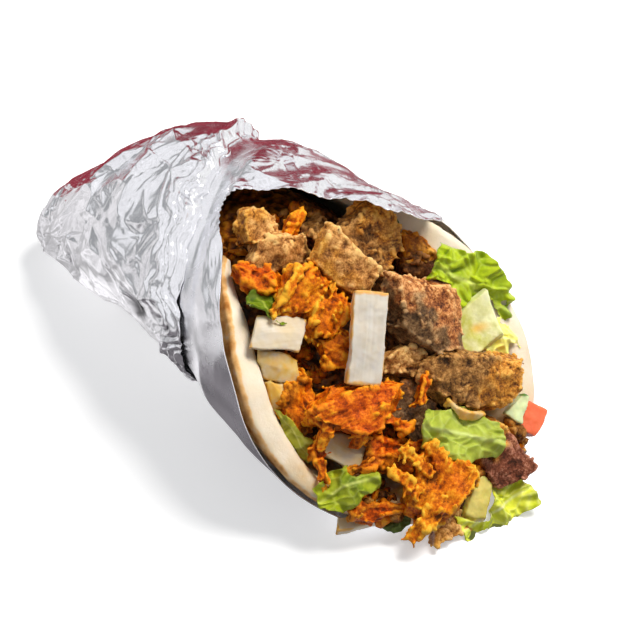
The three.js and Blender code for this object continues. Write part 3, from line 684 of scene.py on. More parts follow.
def leaf_material(name, deep, bright, pale):
    """Lettuce: painted shade deep in its folds, painted highlight where they rise, pale along its veins."""
    n = Nodes(name)
    colour = n.blend(n.ramp(n.grain(5.0), (0.32, 0.0), (0.68, 1.0)), deep, bright)
    # Painted shade and highlight: the deep colour down in the folds, the bright one where they rise.
    high = n.ramp(n.total(n.times(n.value("fold"), 0.35), 0.5), (0.15, 0.0), (0.85, 1.0))
    colour = n.blend(n.times(high, 0.6), colour, bright)
    colour = n.blend(n.times(n.value("vein"), 0.7), colour, pale)
    n.set(Base_Color=colour, Roughness=0.42, Specular_IOR_Level=0.35, Specular_Tint=(0.9, 1.0, 0.5, 1))
    n.set(Coat_Weight=0.06, Coat_Roughness=0.2)
    n.soft(0.22, 0.9, 1.2, 0.3)
    n.bumps(n.grain(0.8), 0.6, 0.16)
    return n.material


def wet_material(name, body, skin):
    """Tomato and cucumber flesh, another colour at its skin."""
    n = Nodes(name)
    lighter = tuple(min(1.0, c * 1.25 + 0.02) for c in body)
    flesh = n.blend(n.ramp(n.grain(3.0), (0.3, 0.0), (0.7, 1.0)), body, lighter)
    n.set(Base_Color=n.blend(n.value("skin"), flesh, skin))
    n.set(Roughness=0.22, Coat_Weight=0.4, Coat_Roughness=0.06)
    n.soft(0.35, 2.2, 1.2, 0.5)
    n.bumps(n.grain(1.0), 0.4, 0.15)
    return n.material


# Toasted bread, from hardly to darkest.
TOASTED = (
    (0.38, (0.84, 0.66, 0.42)),
    (0.58, (0.80, 0.46, 0.17)),
    (0.80, (0.48, 0.19, 0.035)),
    (1.0, (0.17, 0.05, 0.010)),
)


def bread_material():
    """Flatbread: cream, with toasted spots where 'toast' says, and fine pores."""
    n = Nodes("bread")
    cream = n.blend(n.ramp(n.grain(9.0), (0.3, 0.0), (0.7, 1.0)), (0.76, 0.63, 0.44), (0.84, 0.74, 0.60))
    browning = n.total(n.value("toast"), n.sway(0.7, 3.2, 4.0), n.sway(0.9, 8.0, 2.0))
    colour = n.blend(n.ramp(browning, (0.28, 0.0), (0.5, 1.0)), cream, n.ramp(browning, *TOASTED))
    oil = n.times(n.value("oil"), n.ramp(n.grain(4.0), (0.3, 0.1), (0.6, 1.0)))
    n.set(Base_Color=n.blend(oil, colour, (0.76, 0.42, 0.06)))
    n.set(Roughness=0.72, Specular_IOR_Level=0.35)
    n.soft(0.15, 2.0, 1.3, 0.7)
    n.bumps(n.grain(1.1, 5.0, 0.65), 0.6, 0.3)
    n.bumps(n.grain(0.35, 3.0, 0.6), 0.4, 0.1)
    return n.material


def foil_material(name, rough):
    """Foil: bright, with small dents, and painted shade, near black, where its attribute says that a fold
    stands open.
    """
    n = Nodes(name)
    # Painted shade: the attribute darkens the foil to near black where a fold stands open.
    n.set(Base_Color=n.blend(n.value("gap"), (0.92, 0.92, 0.94), (0.02, 0.018, 0.02)), Metallic=1.0)
    n.set(Roughness=n.ramp(n.grain(7.0), (0.3, rough * 0.75), (0.7, rough * 1.3)))
    n.bumps(n.grain(3.0, 2.0, 0.4), 0.3, 0.25)
    n.bumps(n.grain(0.7, 2.0, 0.5), 0.2, 0.05)
    return n.material


# ---- foil ----

UNROLLED_RADIUS = 40.0
TURN_LENGTH = 2 * math.pi * UNROLLED_RADIUS
CREASE_WIDTH = 0.5

# Crumples: the size of their flat faces, the faces' height, the creases' height, and a seed.
OUTER_CRUMPLES = ((13, 1.5, 0.35, 11), (6.5, 0.75, 0.22, 21), (3.4, 0.16, 0.0, 31))
ROOF_CRUMPLES = ((10, 1.2, 0.3, 41), (5, 0.7, 0.2, 51), (2.6, 0.2, 0.0, 61))
TAUT_CRUMPLES = ((18, 0.35, 0.1, 81),)


def flat_faces(u, x, spacing, seed):
    """Heights from -1 to 1 on flat triangles between random points, and the way to their nearest side."""
    margin, overlap = 20, 30
    rng = np.random.default_rng(seed)
    low, high = x.min() - margin, x.max() + margin
    count = int(TURN_LENGTH * (high - low) / spacing**2)
    at = np.stack([rng.uniform(0, TURN_LENGTH, count), rng.uniform(low, high, count)], -1)
    height = rng.uniform(-1, 1, count)
    shift = np.array([TURN_LENGTH, 0])
    before, after = at[:, 0] > TURN_LENGTH - overlap, at[:, 0] < overlap
    at = np.concatenate([at, at[before] - shift, at[after] + shift])
    height = np.concatenate([height, height[before], height[after]])
    found = delaunay_2d_cdt([Vector(p) for p in at], [], [], 0, 1e-4)
    corners = np.array([[*p, height[source[0]]] for p, source in zip(found[0], found[3])])
    tree = BVHTree.FromPolygons(corners.tolist(), found[2])
    down = Vector((0, 0, -1))
    places = np.stack([(u % TURN_LENGTH).ravel(), x.ravel()], -1)
    hits = [tree.ray_cast(Vector((a, b, 5)), down) for a, b in places]
    level = np.array([hit[0].z if hit[0] else 0.0 for hit in hits])
    sides = corners[np.array(found[2])[[hit[2] or 0 for hit in hits]], :2]
    to_side = np.full(len(places), 9.0)
    for k in range(3):
        run = sides[:, (k + 1) % 3] - sides[:, k]
        away = places - sides[:, k]
        across = run[:, 0] * away[:, 1] - run[:, 1] * away[:, 0]
        to_side = np.minimum(to_side, np.abs(across) / np.linalg.norm(run, axis=1))
    return level.reshape(x.shape), to_side.reshape(x.shape)


def crumpled(x, angle, crumples):
    around = roll_point(x, angle)
    bent = [noise(around, 16, 60 + k) * 3 for k in range(2)]
    u = np.radians(angle) * UNROLLED_RADIUS + bent[0]
    height = 0.0 * x
    for size, face, crease, seed in crumples:
        level, to_side = flat_faces(u, x + bent[1], size, seed)
        kept = smooth(noise(around, size, seed + 1), -0.3, 0.2)
        height = height + face * level + crease * kept * hill(to_side, 0, CREASE_WIDTH)
    return height


def foil_outer():
    """The sheet that closes the tail. Its free edge is crushed into a column of sharp folds."""
    rows, cols = ((220, 500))
    angle, t = np.meshgrid(np.arange(cols) * 360 / cols, np.linspace(0, 1, rows))
    turn = np.radians(angle)
    torn = noise(joined(np.cos(turn) * UNROLLED_RADIUS, np.sin(turn) * UNROLLED_RADIUS), 4, 8)
    edge = outer_edge_x(angle) + torn * 1.6
    x = TAIL_X + (edge - TAIL_X) * t**1.4
    back = edge - x
    lip = 1.6 * hill(back, 5, 2.4) * over_top(angle)
    folds, open_fold_shade = near_edge_folds(x, angle, back)
    crumples = 0.6 * creases(x, angle) + crumpled(x, angle, OUTER_CRUMPLES)
    height = (crumples + folds + lip) * smooth(x, TAIL_X, 10)
    underside = smooth(angle, 212, 226) * (1 - smooth(angle, 290, 320))
    hugs = np.maximum(smooth(over_top(angle), 0.1, 0.5), underside)
    lies_down = (1 - smooth(back, 0.5, 5)) * mix(0.6, 1, hugs)
    tuck, hollow = gap_fold(x, angle)
    height = mix(height, -1.0, lies_down) - tuck
    top = roll_point(x, angle, -height)
    under = roll_point(x, angle, -height + FOIL_SHEET)
    crushed = 0.8
    for size, by, seed in ((8, 1.7, 35), (4, 0.8, 36)):
        crushed = crushed + by * flat_faces(top[..., 1], top[..., 2], size, seed)[0]
    for layer in (top, under):
        layer[..., 0] += crushed * (1 - smooth(x, TAIL_X, TAIL_X + 9))
    # Painted shade, near black, in the open folds and in the tuck's hollow.
    gap = [np.maximum(open_fold_shade, hollow)] * 2
    material = foil_material("foil_crumpled", 0.20)
    sheet("foil_wrap_outer", top, under, True, material, "foil", "foil_outer", gap=gap)


def near_edge_folds(x, angle, back):
    """Sharp folds beside the sheet's free edge, strongest on the near side, and where painted shade darkens
    them as if they stood open.
    """
    side = np.clip(np.cos(np.radians(angle - 165)), 0, 1) ** 0.5
    wander = noise(roll_point(x, angle), 9, 91) * 1.3
    wave = np.abs(((back / 4.6 + wander) % 1) * 2 - 1)
    folds = (wave - 0.5) * 2.3 * side * (1 - smooth(back, 6, 20))
    open_here = smooth(noise(joined(angle * 0.7, back), 9, 92), 0.0, 0.3)
    # Where painted shade darkens the folds' valleys on the near side.
    open_fold_shade = (1 - smooth(wave, 0.12, 0.3)) * smooth(angle, 146, 156) * (1 - smooth(angle, 212, 222))
    return folds, open_fold_shade * (1 - smooth(back, 8, 13)) * open_here


def gap_fold(x, angle):
    """A tuck low on the near side, where the sheet is folded under: a hollow below a sharp lip, which is also
    where painted shade makes it dark.
    """
    at_x, at_angle, long, wide, deep = 81.0, 171.0, 5.0, 12.0, 0.9
    below = angle - at_angle + 0.5 * (x - at_x)
    reach = np.exp(-np.abs((x - at_x) / long) ** 3)
    hollow = smooth(below, -1.0, 0.6) * (1 - smooth(below, wide, 1.5 * wide)) * reach
    return deep * hollow - 0.7 * hill(below, -2.2, 1.4) * reach, hollow


def foil_inner():
    """The sheet under it: taut on the near side, creased over the top, torn along a toothed edge."""
    rows, step = ((130, 0.5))
    turns = np.concatenate([np.arange(38, 126, step), np.arange(126, 398, 1.5)])
    angle, t = np.meshgrid(turns, np.linspace(0, 1, rows))
    teeth = np.abs((angle / 2.3) % 1 * 2 - 1) * 1.3 * smooth(angle, 40, 48) * (1 - smooth(angle, 118, 126))
    far_side = smooth(angle, 308, 328) + 1 - smooth(angle, 40, 50)
    x = mix(outer_edge_x(angle) - UNDERLAP, inner_edge_x(angle) - teeth - 7 * far_side, t)
    past_edge = x - outer_edge_x(angle)
    past = smooth(past_edge, 2, 14)
    depth = (FOIL_SOLID + LAYER_GAP + TUCK["slack"] * tucked(x, angle)) * (1 - past)
    lift = 2.2 * (1 - smooth(past_edge, 20, 50))
    roof = crumpled(x, angle, ROOF_CRUMPLES) + 0.6 * creases(x, angle) + lift
    taut = noise(roll_point(x, angle), (12, 30, 30), 71) * 0.35 + crumpled(x, angle, TAUT_CRUMPLES)
    free = over_top(angle) * smooth(past_edge, 2, 16)
    inset = depth - (roof * free + taut * past * (1 - free) - tight_line(x, angle))
    layers = roll_point(x, angle, inset), roll_point(x, angle, inset + FOIL_SHEET)
    sheet("foil_wrap_inner", *layers, True, foil_material("foil_smooth", 0.24), "foil", "foil_inner")


def tight_line(x, angle):
    """A thin crease pressed across the smooth sheet on the near side."""
    reach = smooth(x, 86, 90) * (1 - smooth(x, 112, 116))
    return 0.5 * hill((angle - 214) + (x - 100) * 0.75, 0, 0.7) * reach


# ---- bread ----


def bread():
    """The flatbread trough: blistered outside, with toasted spots towards its rim."""
    cols, body, rim = ((260, 150, 10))
    share = np.concatenate([np.linspace(0, 1, body) ** 0.8, np.ones(rim)])
    rounding = np.concatenate([np.zeros(body), np.linspace(0, 1, rim + 1)[1:]])[:, None]
    angle, share = np.meshgrid(np.linspace(BREAD_FROM, BREAD_TO, cols), share)
    thick = bread_thickness(angle)
    corner = np.minimum(RIM_ROUND, thick * 0.4)
    ragged = noise(joined(angle * 0.8), 9, 17) * 0.9
    run = rim_x(angle) + ragged - corner * (1 - np.sin(rounding * math.pi / 2))
    x = mix(BREAD_TAIL_X, run, share)
    cut = corner * (1 - np.cos(rounding * math.pi / 2))
    sides = []
    outer, inner = (1, 13, cut, -0.4, 1, 0.35), (-1, 14, thick - cut, -1, 0.1, 0.6)
    for outwards, seed, below, lowest, highest, by in (outer, inner):
        depth = bread_depth(x, angle) + below
        at = roll_point(x, angle, depth)
        swell = np.clip(fractal(at, 9, seed), lowest, highest) * by + noise(at, 2.2, 15) * 0.12
        sides.append(roll_point(x, angle, depth - swell * outwards * (1 - 0.6 * rounding)))
    back = run - x
    near_rim = 1 - smooth(back, 3.0, 10.0)
    near_side = 1 - smooth(angle, -110, -60)
    outside = 1 - 0.9 * smooth(rounding, 0.5, 1.0)
    toast = (0.14 + 0.50 * near_rim * mix(0.2, 1, near_side)) * outside
    low = smooth(angle, -175, -130) * (1 - smooth(angle, -60, -20))
    oil = [0.75 * low * (1 - outside), 0.9 * low * (1 - smooth(back, 6, 30))]
    sheet("flatbread", *sides, False, bread_material(), "bread", "bread", toast=[toast, 0 * toast], oil=oil)


# ---- pieces of filling ----

VOXEL = 0.42
FLOOR = 0.05  # pieces that lie on the floor are flat at this height


def grown(shapes, voxel, rounds=1):
    """Overlapping closed shapes as one skin of even quads, relaxed so many rounds."""
    points, quads = remeshed(*many(shapes), voxel)
    return relaxed(points, quads, rounds), quads


def finish(name, points, quads, material, slot, node, **values):
    """A piece, flat where it lies on the floor, with its relief and other values for its material."""
    points = np.concatenate([points[:, :2], np.maximum(points[:, 2:], FLOOR)], 1)
    values = {"fine": relief(points, quads, 5), "broad": relief(points, quads, 40), **values}
    dress(add_piece(name, points, quads, values), material, slot, node)


# Doner pieces: first look, second look, where on the piece the second one shows (in mouth directions across,
# up and out), and how crumbly it is.
DONER = {
    "doner_front": ("olive", "golden", (1.0, -0.3, 0.0), 0.8),
    "doner_crust": ("golden", "crust", (0.4, -1.2, 0.6), 0.5),
    "doner_big": ("grey", "warm", (0.7, 0.6, 0.5), 0.7),
    "doner_slice": ("golden", "tan", (0.6, 0.2, 0.9), 0.5),
    "doner_wall": ("olive", "tan", (0.0, 0.6, 0.7), 0.8),
    # doner_low's dark looks are partly painted shade, as it lies in a gap.
    "doner_low": ("brown", "grey", (-0.5, -0.6, 0.2), 0.8),
    "doner_roof": ("olive", "golden", (0.9, 0.2, 0.4), 1.0),
    "doner_dark": ("brown", "crust", (0.5, -0.5, 0.4), 0.9),
    "doner_back": ("golden", "tan", (0.6, -0.3, 0.6), 0.9),
    "doner_crumbly": ("olive", "tan", (0.0, 0.8, 0.6), 1.2),
    "doner_deep": ("crust", "olive", (0.0, 0.9, 0.6), 1.1),
    "doner_spill": ("golden", "tan", (0.5, 0.5, 0.5), 0.9),
}


def meat_piece(name, look, second, towards, crumbly, seed):
    """A piece of doner: granular minced meat, crumbly along its edges."""
    rng = np.random.default_rng(seed)
    points, faces = triangles_of(nodes[name])
    middle = axes_of(points)[0]
    edge = on_edges(points, faces, 1.6 / crumbly, rng)
    edge = edge + rng.normal(0, 0.3, edge.shape)
    crumbs = lumps(edge, rng.uniform(0.35, 0.75, len(edge)), rng)
    points, quads = grown([(points, faces), crumbs], VOXEL)
    loose = smooth(noise(points, 6, seed + 4), -0.4, 0.5) * mix(0.5, 1, crumbly)
    torn = facets(points + 0.8 * noise(points, 3, seed + 6)[:, None], 6, seed + 5)
    height = 0.35 * fractal(points, 5, seed) + 0.55 * torn + 0.25 * fractal(points, 2.2, seed + 9, 2) + 0.1
    height = height + mix(0.10, 0.42, loose) * clumps(points, 2.4, seed + 3)
    points = raised(points, quads, height, 3)
    lean = (points - middle) / np.abs(points - middle).max(0)
    blend = lean @ MOUTH_WAYS.T @ np.array(towards) + 0.35 * noise(points, 3, seed + 9)
    key = f"doner_{look}_{second}"
    material = bpy.data.materials.get(key) or meat_material(key, MEATS[look], MEATS[second])
    finish(name + "_meat", points, quads, material, "doner", name, blend=smooth(blend, -0.15, 0.35))


# Chicken pieces: first look, second look, and the number of loose fibres.
CHICKEN = {
    "chicken_small": ("red", "orange", 4),
    "chicken_spill": ("orange", "yellow", 18),
    "chicken_middle": ("orange", "red", 8),
    "chicken_shreds": ("brown", "red", 26),
    "chicken_strand": ("orange", "yellow", 16),
    "chicken_torn": ("orange", "yellow", 14),
    "chicken_curl": ("brown", "orange", 16),
    "carrot_shreds": ("red", "orange", 6),
    "chicken_far": ("golden", "brown", 14),
    "chicken_stick": ("yellow", "orange", 8),
    "chicken_near": ("orange", "red", 16),
    "chicken_brown": ("brown", "orange", 18),
    "chicken_lip": ("brown", "red", 18),
}


def chicken_piece(name, look, second, loose, seed):
    """A piece of chicken: pulled fibres that run along it, ragged at its edges, some of them loose."""
    rng = np.random.default_rng(seed)
    points, faces = triangles_of(nodes[name])
    middle, ways, half = axes_of(points)
    along = ways[0] * np.sign(ways[0] @ MOUTH_U)
    shapes = [(points, faces)]
    area = np.linalg.norm(area_ways(points, faces)[3], axis=1).sum() / 2
    for start, out in zip(*scatter_on(points, faces, int(area / 24), rng)):
        way = along + rng.normal(0, 0.25, 3)
        way = unit(way - out * (way @ out) * 0.9)
        length, radius = rng.uniform(3.0, 8.0), rng.uniform(0.4, 0.9)
        shapes.append(strand(start - out * radius * 0.8 - way * length / 2, way, length, radius, rng, 0.2))
    for start in on_edges(points, faces, 2.2, rng):
        way = unit(along * rng.choice([-1, 1]) + rng.normal(0, 0.5, 3))
        shapes.append(strand(start - way, way, rng.uniform(1.5, 3.0), rng.uniform(0.4, 0.8), rng, 0.4, 5))
    for start, out in zip(*scatter_on(points, faces, loose // 2, rng)):
        way = along * rng.choice([-1, 1]) * rng.uniform(0.4, 1) + out * rng.uniform(0.1, 0.5)
        way = unit(way + rng.normal(0, 0.35, 3))
        shapes.append(strand(start - way, way, rng.uniform(2.0, 5.5), rng.uniform(0.35, 0.6), rng, 0.6))
    points, quads = grown(shapes, VOXEL)
    grooves = 1 - 2 * np.abs(fractal((points - middle) @ ways.T, (9, 1.7, 1.7), seed + 5))
    torn = facets(points + 0.6 * noise(points, 3, seed + 6)[:, None], 5.5, seed + 8)
    height = 0.3 * fractal(points, 4.5, seed) + 0.75 * torn + 0.2 * grooves
    points = raised(points, quads, height + 0.1 * noise(points, 0.9, seed + 2), 3)
    blend = smooth(noise(points, 4, seed + 9) + 0.4 * ((points - middle) @ MOUTH_N) / half[1], -0.4, 0.6)
    key = f"chicken_{look}_{second}"
    material = bpy.data.materials.get(key) or meat_material(key, CHICKENS[look], CHICKENS[second], True)
    finish(name + "_pulled", points, quads, material, "chicken", name, blend=blend)


# How far each piece of onion is stained by the spice, from 0 to about 0.5.
ONIONS = {
    "onion_slab": (0.02,),
    "onion_curl": (0.55,),
    "onion_near": (0.13,),
    "onion_near_low": (0.38,),
    "onion_wedge": (0.50,),
    "onion_low": (0.27,),
    "onion_spill": (0.20,),
}


def onion_piece(name, stain, seed):
    """A piece of onion with faint parallel ridges along it and a slightly wavy cut edge."""
    points, quads = grown([triangles_of(nodes[name])], VOXEL * 0.85)
    middle, ways, half = axes_of(points)
    local = (points - middle) @ ways.T
    lines = 0.5 + 0.5 * noise(local, (16, 0.5, 3), seed + 1)
    s, t, _ = (local / half).T
    rim = smooth(np.maximum(s**4, t**4), 0.45, 0.95)
    height = 0.05 * lines + 0.22 * noise(points, 4, seed + 2) + 0.05 * noise(points, 1.2, seed + 3) + 0.1
    points = raised(points, quads, height)
    material = onion_material(f"onion_{name}", stain)
    finish(name + "_cut", points, quads, material, "onion", name, lines=lines, rim=rim)


# Lettuce: deep colour, which also stands for painted shade in the folds, bright and pale colour, and how much
# the leaf is ruffled. A piece of rib isn't.
LETTUCE = {
    "lettuce_top": ((0.25, 0.30, 0.015), (0.45, 0.52, 0.07), (0.68, 0.74, 0.30), 0.9),
    "lettuce_far": ((0.12, 0.22, 0.002), (0.46, 0.56, 0.010), (0.72, 0.78, 0.22), 1.3),
    "lettuce_yellow": ((0.92, 0.83, 0.04), (1.0, 0.95, 0.28), (1.0, 0.97, 0.50), 1.0),
    "lettuce_rib": ((0.42, 0.41, 0.0), (0.86, 0.84, 0.50), (0.88, 0.46, 0.07), 0.0),
    "lettuce_strip": ((0.20, 0.20, 0.006), (0.44, 0.41, 0.035), (0.66, 0.60, 0.18), 0.7),
    "lettuce_near": ((0.035, 0.075, 0.002), (0.16, 0.24, 0.006), (0.46, 0.52, 0.09), 0.7),
    "lettuce_low": ((0.10, 0.16, 0.003), (0.42, 0.46, 0.015), (0.70, 0.72, 0.20), 1.1),
    "lettuce_spill": ((0.42, 0.48, 0.006), (0.80, 0.82, 0.08), (0.93, 0.95, 0.60), 1.5),
    "lettuce_dark": ((0.02, 0.035, 0.003), (0.055, 0.085, 0.010), (0.16, 0.19, 0.04), 0.7),
    "lettuce_sliver": ((0.015, 0.06, 0.003), (0.055, 0.15, 0.010), (0.28, 0.36, 0.08), 0.4),
}
LEANS_ON_BREAD = ("lettuce_far", "lettuce_yellow")
CLEAR_OF_BREAD = 2.0 * MOUTH_N - 0.7 * MOUTH_U


def leaf_piece(name, deep, bright, pale, ruffle, seed):
    """A torn piece of lettuce: thinned, ruffled towards its outline, with a rib and side veins."""
    points, quads = grown([triangles_of(nodes[name])], VOXEL * 0.9, 0)
    material = leaf_material(name, deep, bright, pale)
    if not ruffle:
        return rib_piece(name, points, quads, material, seed)
    shift = CLEAR_OF_BREAD * (name in LEANS_ON_BREAD)
    middle, ways, half = axes_of(points)
    middle = middle + shift
    points = relaxed(raised(points, quads, -0.2), quads, 1) + shift
    s, t, _ = (((points - middle) @ ways.T) / half).T
    border = smooth(np.maximum(np.abs(s), np.abs(t)), 0.3, 0.98)
    flat = joined(s * half[0], t * half[1])
    warped = flat + joined(noise(flat, 5, seed + 5), noise(flat, 5, seed + 6)) * 1.3
    pleats = 1 - 2 * np.abs(noise(warped, (6, 9, 1), seed))
    first, next_one = cells(warped, (4.2, 3.2, 50), seed + 1)
    between = next_one - first
    blister = smooth(between, 0.0, 0.55)
    turns = np.arctan2(t, s) * (half[0] + half[1]) / 2
    frill = np.sin(turns * 1.1 + 3.5 * noise(flat, 6, seed + 8)) * border**2
    rib = hill(t + 0.12 * noise(flat, 9, seed + 7), 0, 0.07) * (1 - 0.6 * np.abs(s))
    vein = np.maximum(rib, (1 - smooth(between, 0.0, 0.12)) * 0.3)
    wrinkles = noise(warped, 2.2, seed + 3)
    fold = (1.0 * pleats + 0.75 * (blister - 0.5) + 0.8 * frill + 0.3 * wrinkles) * ruffle
    lobes = (0.25 * frill + 0.9 * noise(flat, 3.5, seed + 2) * border) * min(ruffle, 1.2) + 0.6 * border
    moved = joined(s * lobes, t * lobes, fold - 0.15 * vein) @ ways
    finish(name + "_leaf", points + moved, quads, material, "lettuce", name, vein=vein, fold=fold)


def rib_piece(name, points, quads, material, seed):
    """A thick piece of a leaf's rib: smooth, palest at its cut end, with a spot of spice."""
    points = relaxed(points, quads, 1)
    middle, _, half = axes_of(points)
    points = raised(points, quads, 0.2 * noise(points, 4, seed) + 0.05 * noise(points, 1.2, seed + 1))
    across, up = (points - middle) @ MOUTH_U, (points - middle) @ MOUTH_V
    fold = 2.2 * (across + up) / half[0] - 0.9 + 0.4 * noise(points, 5, seed + 2)
    stain = hill(across, 0, 2.4) * hill(up, 0, 1.4)
    finish(name + "_block", points, quads, material, "lettuce", name, vein=stain, fold=fold)


# Tomato and cucumber: slot, flesh, skin, which way the skin faces (across, up, out), how far out it begins.
WET = {
    "tomato_wedge": ("tomato", (0.86, 0.13, 0.03), (0.93, 0.38, 0.12), (0.3, -1, -0.2), 0.55),
    "cucumber_wedge": ("cucumber", (0.62, 0.68, 0.36), (0.10, 0.22, 0.03), (0.4, 1, 0.1), 0.62),
    "cucumber_stick": ("cucumber", (0.60, 0.50, 0.10), (0.30, 0.36, 0.03), (-1, 0.6, 0), 0.85),
}


def wet_piece(name, slot, flesh, skin, skin_side, skin_from, seed):
    """A smooth wet piece, cut from a fruit, with skin on one side."""
    points, quads = grown([triangles_of(nodes[name])], VOXEL * 0.85, 2)
    points = raised(points, quads, 0.22 * noise(points, 3.5, seed) + 0.06 * noise(points, 1, seed + 1))
    reach = (points - axes_of(points)[0]) @ MOUTH_WAYS.T @ unit(np.array(skin_side))
    reach = reach / np.abs(reach).max()
    skinned = smooth(reach + 0.05 * noise(points, 2, seed + 2), skin_from, skin_from + 0.12)
    finish(name + "_cut", points, quads, wet_material(name, flesh, skin), slot, name, skin=skinned)


# What makes each kind of piece, its looks, its first seed and the step from seed to seed.
KINDS = (
    (meat_piece, DONER, 100, 7),
    (chicken_piece, CHICKEN, 300, 7),
    (onion_piece, ONIONS, 500, 7),
    (leaf_piece, LETTUCE, 700, 7),
    (wet_piece, WET, 900, 10),
)


def filling():
    for make, looks, seed, step in KINDS:
        for k, (name, look) in enumerate(looks.items()):
            make(name, *look, seed + step * k)


def bed():
    """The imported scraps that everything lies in: more chicken towards the near side."""
    points, quads = grown([triangles_of(nodes["filling_bed"])], 0.8, 0)
    scraps = 0.5 - cells(points + drift(points, 3, 44) * 0.8, 2.4, 41)[0]
    points = raised(points, quads, 0.6 * fractal(points, 4.5, 40) + scraps * 1.5, 2)
    across = (points - MOUTH_CENTRE) @ MOUTH_U
    spiced = 1 - smooth(across + 6 * noise(points, 7, 43), -8, 4)
    # Painted shade: the chicken brown is darkened to 0.45 because the bed lies deep in the mouth, where shade
    # falls.
    shaded_brown = tuple(tuple(0.45 * c for c in colour) for colour in CHICKENS["brown"])
    material = meat_material("scraps", MEATS["brown"], shaded_brown)
    finish("packed_scraps", points, quads, material, "scraps", "filling_bed", blend=spiced)


# ---- crumbs and loose shreds ----


def view_down(count, rng):
    """Where lines straight into the mouth first meet its bed, or the bread low in it: points and facings."""
    trees = {}
    for name, node in nodes.items():
        points, faces = triangles_of(node)
        trees[name] = BVHTree.FromPolygons(points.tolist(), faces.tolist())
    before_mouth, reach = 40, 90
    low_v, near_u = -34, -22
    found = []
    for _ in range(count):
        u, v = rng.uniform(-46, 46), rng.uniform(-58, 50)
        start = Vector(MOUTH_CENTRE + MOUTH_U * u + MOUTH_V * v + MOUTH_N * before_mouth)
        hits = [(*tree.ray_cast(start, Vector(-MOUTH_N), reach), name) for name, tree in trees.items()]
        hits = [hit for hit in hits if hit[0] is not None]
        if hits:
            at, facing, _, _, name = min(hits, key=lambda hit: hit[3])
            if name == "filling_bed" or (name == "bread" and v < low_v and u > near_u):
                found.append((np.array(at), np.array(facing)))
    return found


def crumb(at, radius, rng):
    """A crumb of meat: a dented ball."""
    points, faces = FINE_BALL
    stretch = rng.uniform(0.6, 1.35, 3)
    dented = 1 + 0.30 * noise(points + at, 0.9, 3) + 0.14 * noise(points + at, 0.4, 4)
    turn = np.array(Matrix.Rotation(rng.uniform(0, 6.28), 3, Vector(rng.normal(0, 1, 3))))
    return (points * stretch * dented[:, None]) @ turn.T * radius + at, faces


def loose_bits():
    """Crumbs and fibres that fill the gaps between the pieces."""
    rng = np.random.default_rng(77)
    kinds = {"doner": [], "chicken": []}
    for at, facing in view_down(2600, rng):
        spiced = 0.78 if (at - MOUTH_CENTRE) @ MOUTH_U < 0 else 0.15
        kind = "chicken" if rng.random() < spiced else "doner"
        radius = rng.uniform(0.8, 2.3)
        if kind == "chicken" and rng.random() < 0.55:
            way = unit(MOUTH_U * rng.normal() + MOUTH_V * rng.normal() + facing * 0.25)
            length, thick = rng.uniform(3, 8), rng.uniform(0.5, 1.2)
            piece = strand(at + facing * thick * 0.8 - way * length / 2, way, length, thick, rng, 0.5)
        else:
            piece = crumb(at + facing * radius * 0.5, radius, rng)
        if piece[0][:, 2].min() > FLOOR:
            kinds[kind].append(piece)
    looks = {"doner": (MEATS["brown"], MEATS["golden"]), "chicken": (CHICKENS["orange"], CHICKENS["yellow"])}
    for kind, pieces in kinds.items():
        points, faces = many(pieces)
        shift = np.repeat([rng.random() for _ in pieces], [len(p) for p, _ in pieces])
        values = {"fine": 0.3 * noise(points, 0.8, 5), "broad": 0.5 * noise(points, 2.5, 6), "blend": shift}
        material = meat_material(f"{kind}_crumbs", *looks[kind], fibres=kind == "chicken")
        dress(add_piece(f"{kind}_crumbs", points, faces, values), material, kind)


# ---- floor, light and camera ----


def panel(name, wide, high, colour):
    """A flat rectangle that sheds light of its own, and its material's nodes."""
    n = Nodes(name)
    n.set(Specular_IOR_Level=0.0, Emission_Color=(*colour, 1))
    w, h = wide / 2, high / 2
    mesh = new_mesh(name, [(-w, -h, 0), (w, -h, 0), (w, h, 0), (-w, h, 0)], [(0, 1, 2, 3)])
    mesh.materials.append(n.material)
    made = new_object(name, mesh)
    made.visible_diffuse = False
    return made, n


def floor():
    made, n = panel("floor", 12.0, 12.0, (0.86, 0.86, 0.86))
    n.set(Base_Color=(0.86, 0.86, 0.86, 1), Roughness=0.9, Emission_Strength=0.45)


def card(name, at, facing, wide, high, colour, turn=0.0, patches=(1.0, 1.0), patch=250):
    """A card that only shows as a reflection in the foil, its brightness in patches between two values."""
    made, n = panel(name, wide, high, colour)
    n.set(Base_Color=(0, 0, 0, 1))
    n.set(Emission_Strength=n.ramp(n.grain(patch), (0.38, patches[0]), (0.60, patches[1])))
    made.location = at
    upright = Vector(facing).to_track_quat("Z", "Y").to_matrix()
    made.rotation_euler = (upright @ Matrix.Rotation(math.radians(turn), 3, "Z")).to_euler()
    made.visible_camera = made.visible_shadow = made.visible_transmission = False


def lamp(name, at, size, power, colour=(1, 1, 1)):
    light = bpy.data.lights.new(name, "AREA")
    light.shape = "DISK"
    light.size = size
    light.energy = power
    light.color = colour
    made = new_object(name, light)
    made.location = at
    made.rotation_euler = (Vector(at) - Vector((0.03, 0, 0.03))).to_track_quat("Z", "Y").to_euler()
    made.visible_glossy = False


AZIMUTH, ELEVATION = math.radians(50.9), math.radians(40.4)
CAMERA_DISTANCE = 600.0
LOOKS_AT = np.array([121.0, 0.0, 37.0])
HALF_VIEW = math.radians(9.5)


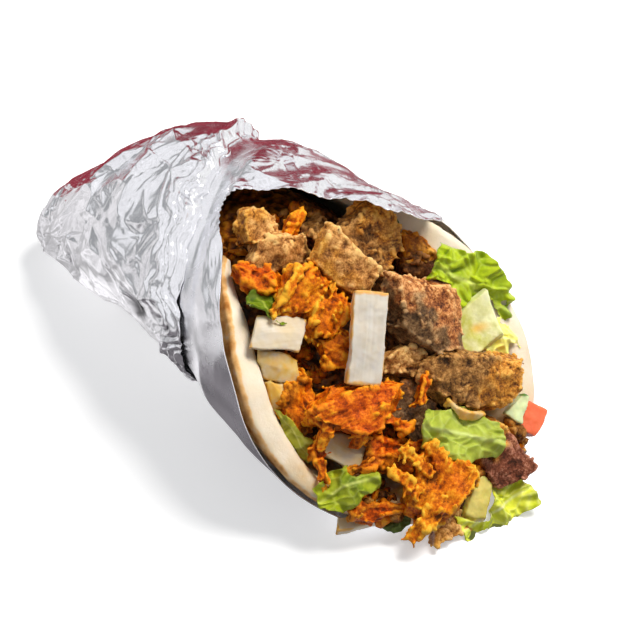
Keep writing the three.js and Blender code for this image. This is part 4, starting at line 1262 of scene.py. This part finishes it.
def camera():
    level = math.cos(ELEVATION)
    back = np.array([math.sin(AZIMUTH) * level, -math.cos(AZIMUTH) * level, math.sin(ELEVATION)])
    lens = bpy.data.cameras.new("camera")
    lens.sensor_width = 36.0
    lens.lens = lens.sensor_width / 2 / math.tan(HALF_VIEW)
    lens.clip_start = 0.01
    made = new_object("camera", lens)
    made.location = (LOOKS_AT + TO_FRAME + back * CAMERA_DISTANCE) * MM
    made.rotation_euler = Vector(back).to_track_quat("Z", "Y").to_euler()
    bpy.context.scene.camera = made


def studio():
    scene = bpy.context.scene
    scene.view_settings.view_transform = "Standard"
    scene.view_settings.look = "None"
    scene.world = bpy.data.worlds.new("studio")
    scene.world.use_nodes = True
    sky = scene.world.node_tree.nodes["Background"].inputs
    sky["Color"].default_value = (0.95, 0.97, 1.0, 1)
    sky["Strength"].default_value = 0.34
    lamp("key", (0.20, 0.30, 0.75), 0.40, 8.0, (1.0, 0.98, 0.95))
    lamp("side", (-0.35, -0.50, 0.45), 0.35, 0.6)
    floor()
    up, down, to_near = (0, 0, 1), (0, 0, -1), (0, -1, 0)
    red = (0.30, 0.022, 0.042)
    card("sky_card", (0, 0, 1.2), down, 8.0, 8.0, (0.97, 0.97, 1.0), patches=(0.5, 1.25))
    card("ground_card", (0, 0, 0.001), up, 4.0, 4.0, (1.0, 0.98, 1.0), patches=(0.38, 1.15), patch=60)
    card("white_card", (0.10, 0.43, 0.25), to_near, 0.96, 0.50, (1, 1, 1), patches=(0.6, 1.2), patch=60)
    card("white_glint_card", (0.20, 0.30, 0.75), (-0.17, -0.30, -0.72), 0.16, 0.16, (8.0, 7.8, 7.6))
    card("red_card", (-0.66, 0.42, 0.21), to_near, 0.56, 0.42, red, patches=(0.3, 1.2), patch=80)
    card("red_floor_card", (-0.45, 0.21, 0.002), up, 0.72, 0.42, red)
    card("grey_card", (-0.086, -0.23, 0.003), up, 0.50, 0.115, (0.20, 0.185, 0.20), 50, (0.5, 1.2), 70)


camera()
studio()
foil_outer()
foil_inner()
bread()
filling()
bed()
loose_bits()

bpy.context.view_layer.update()
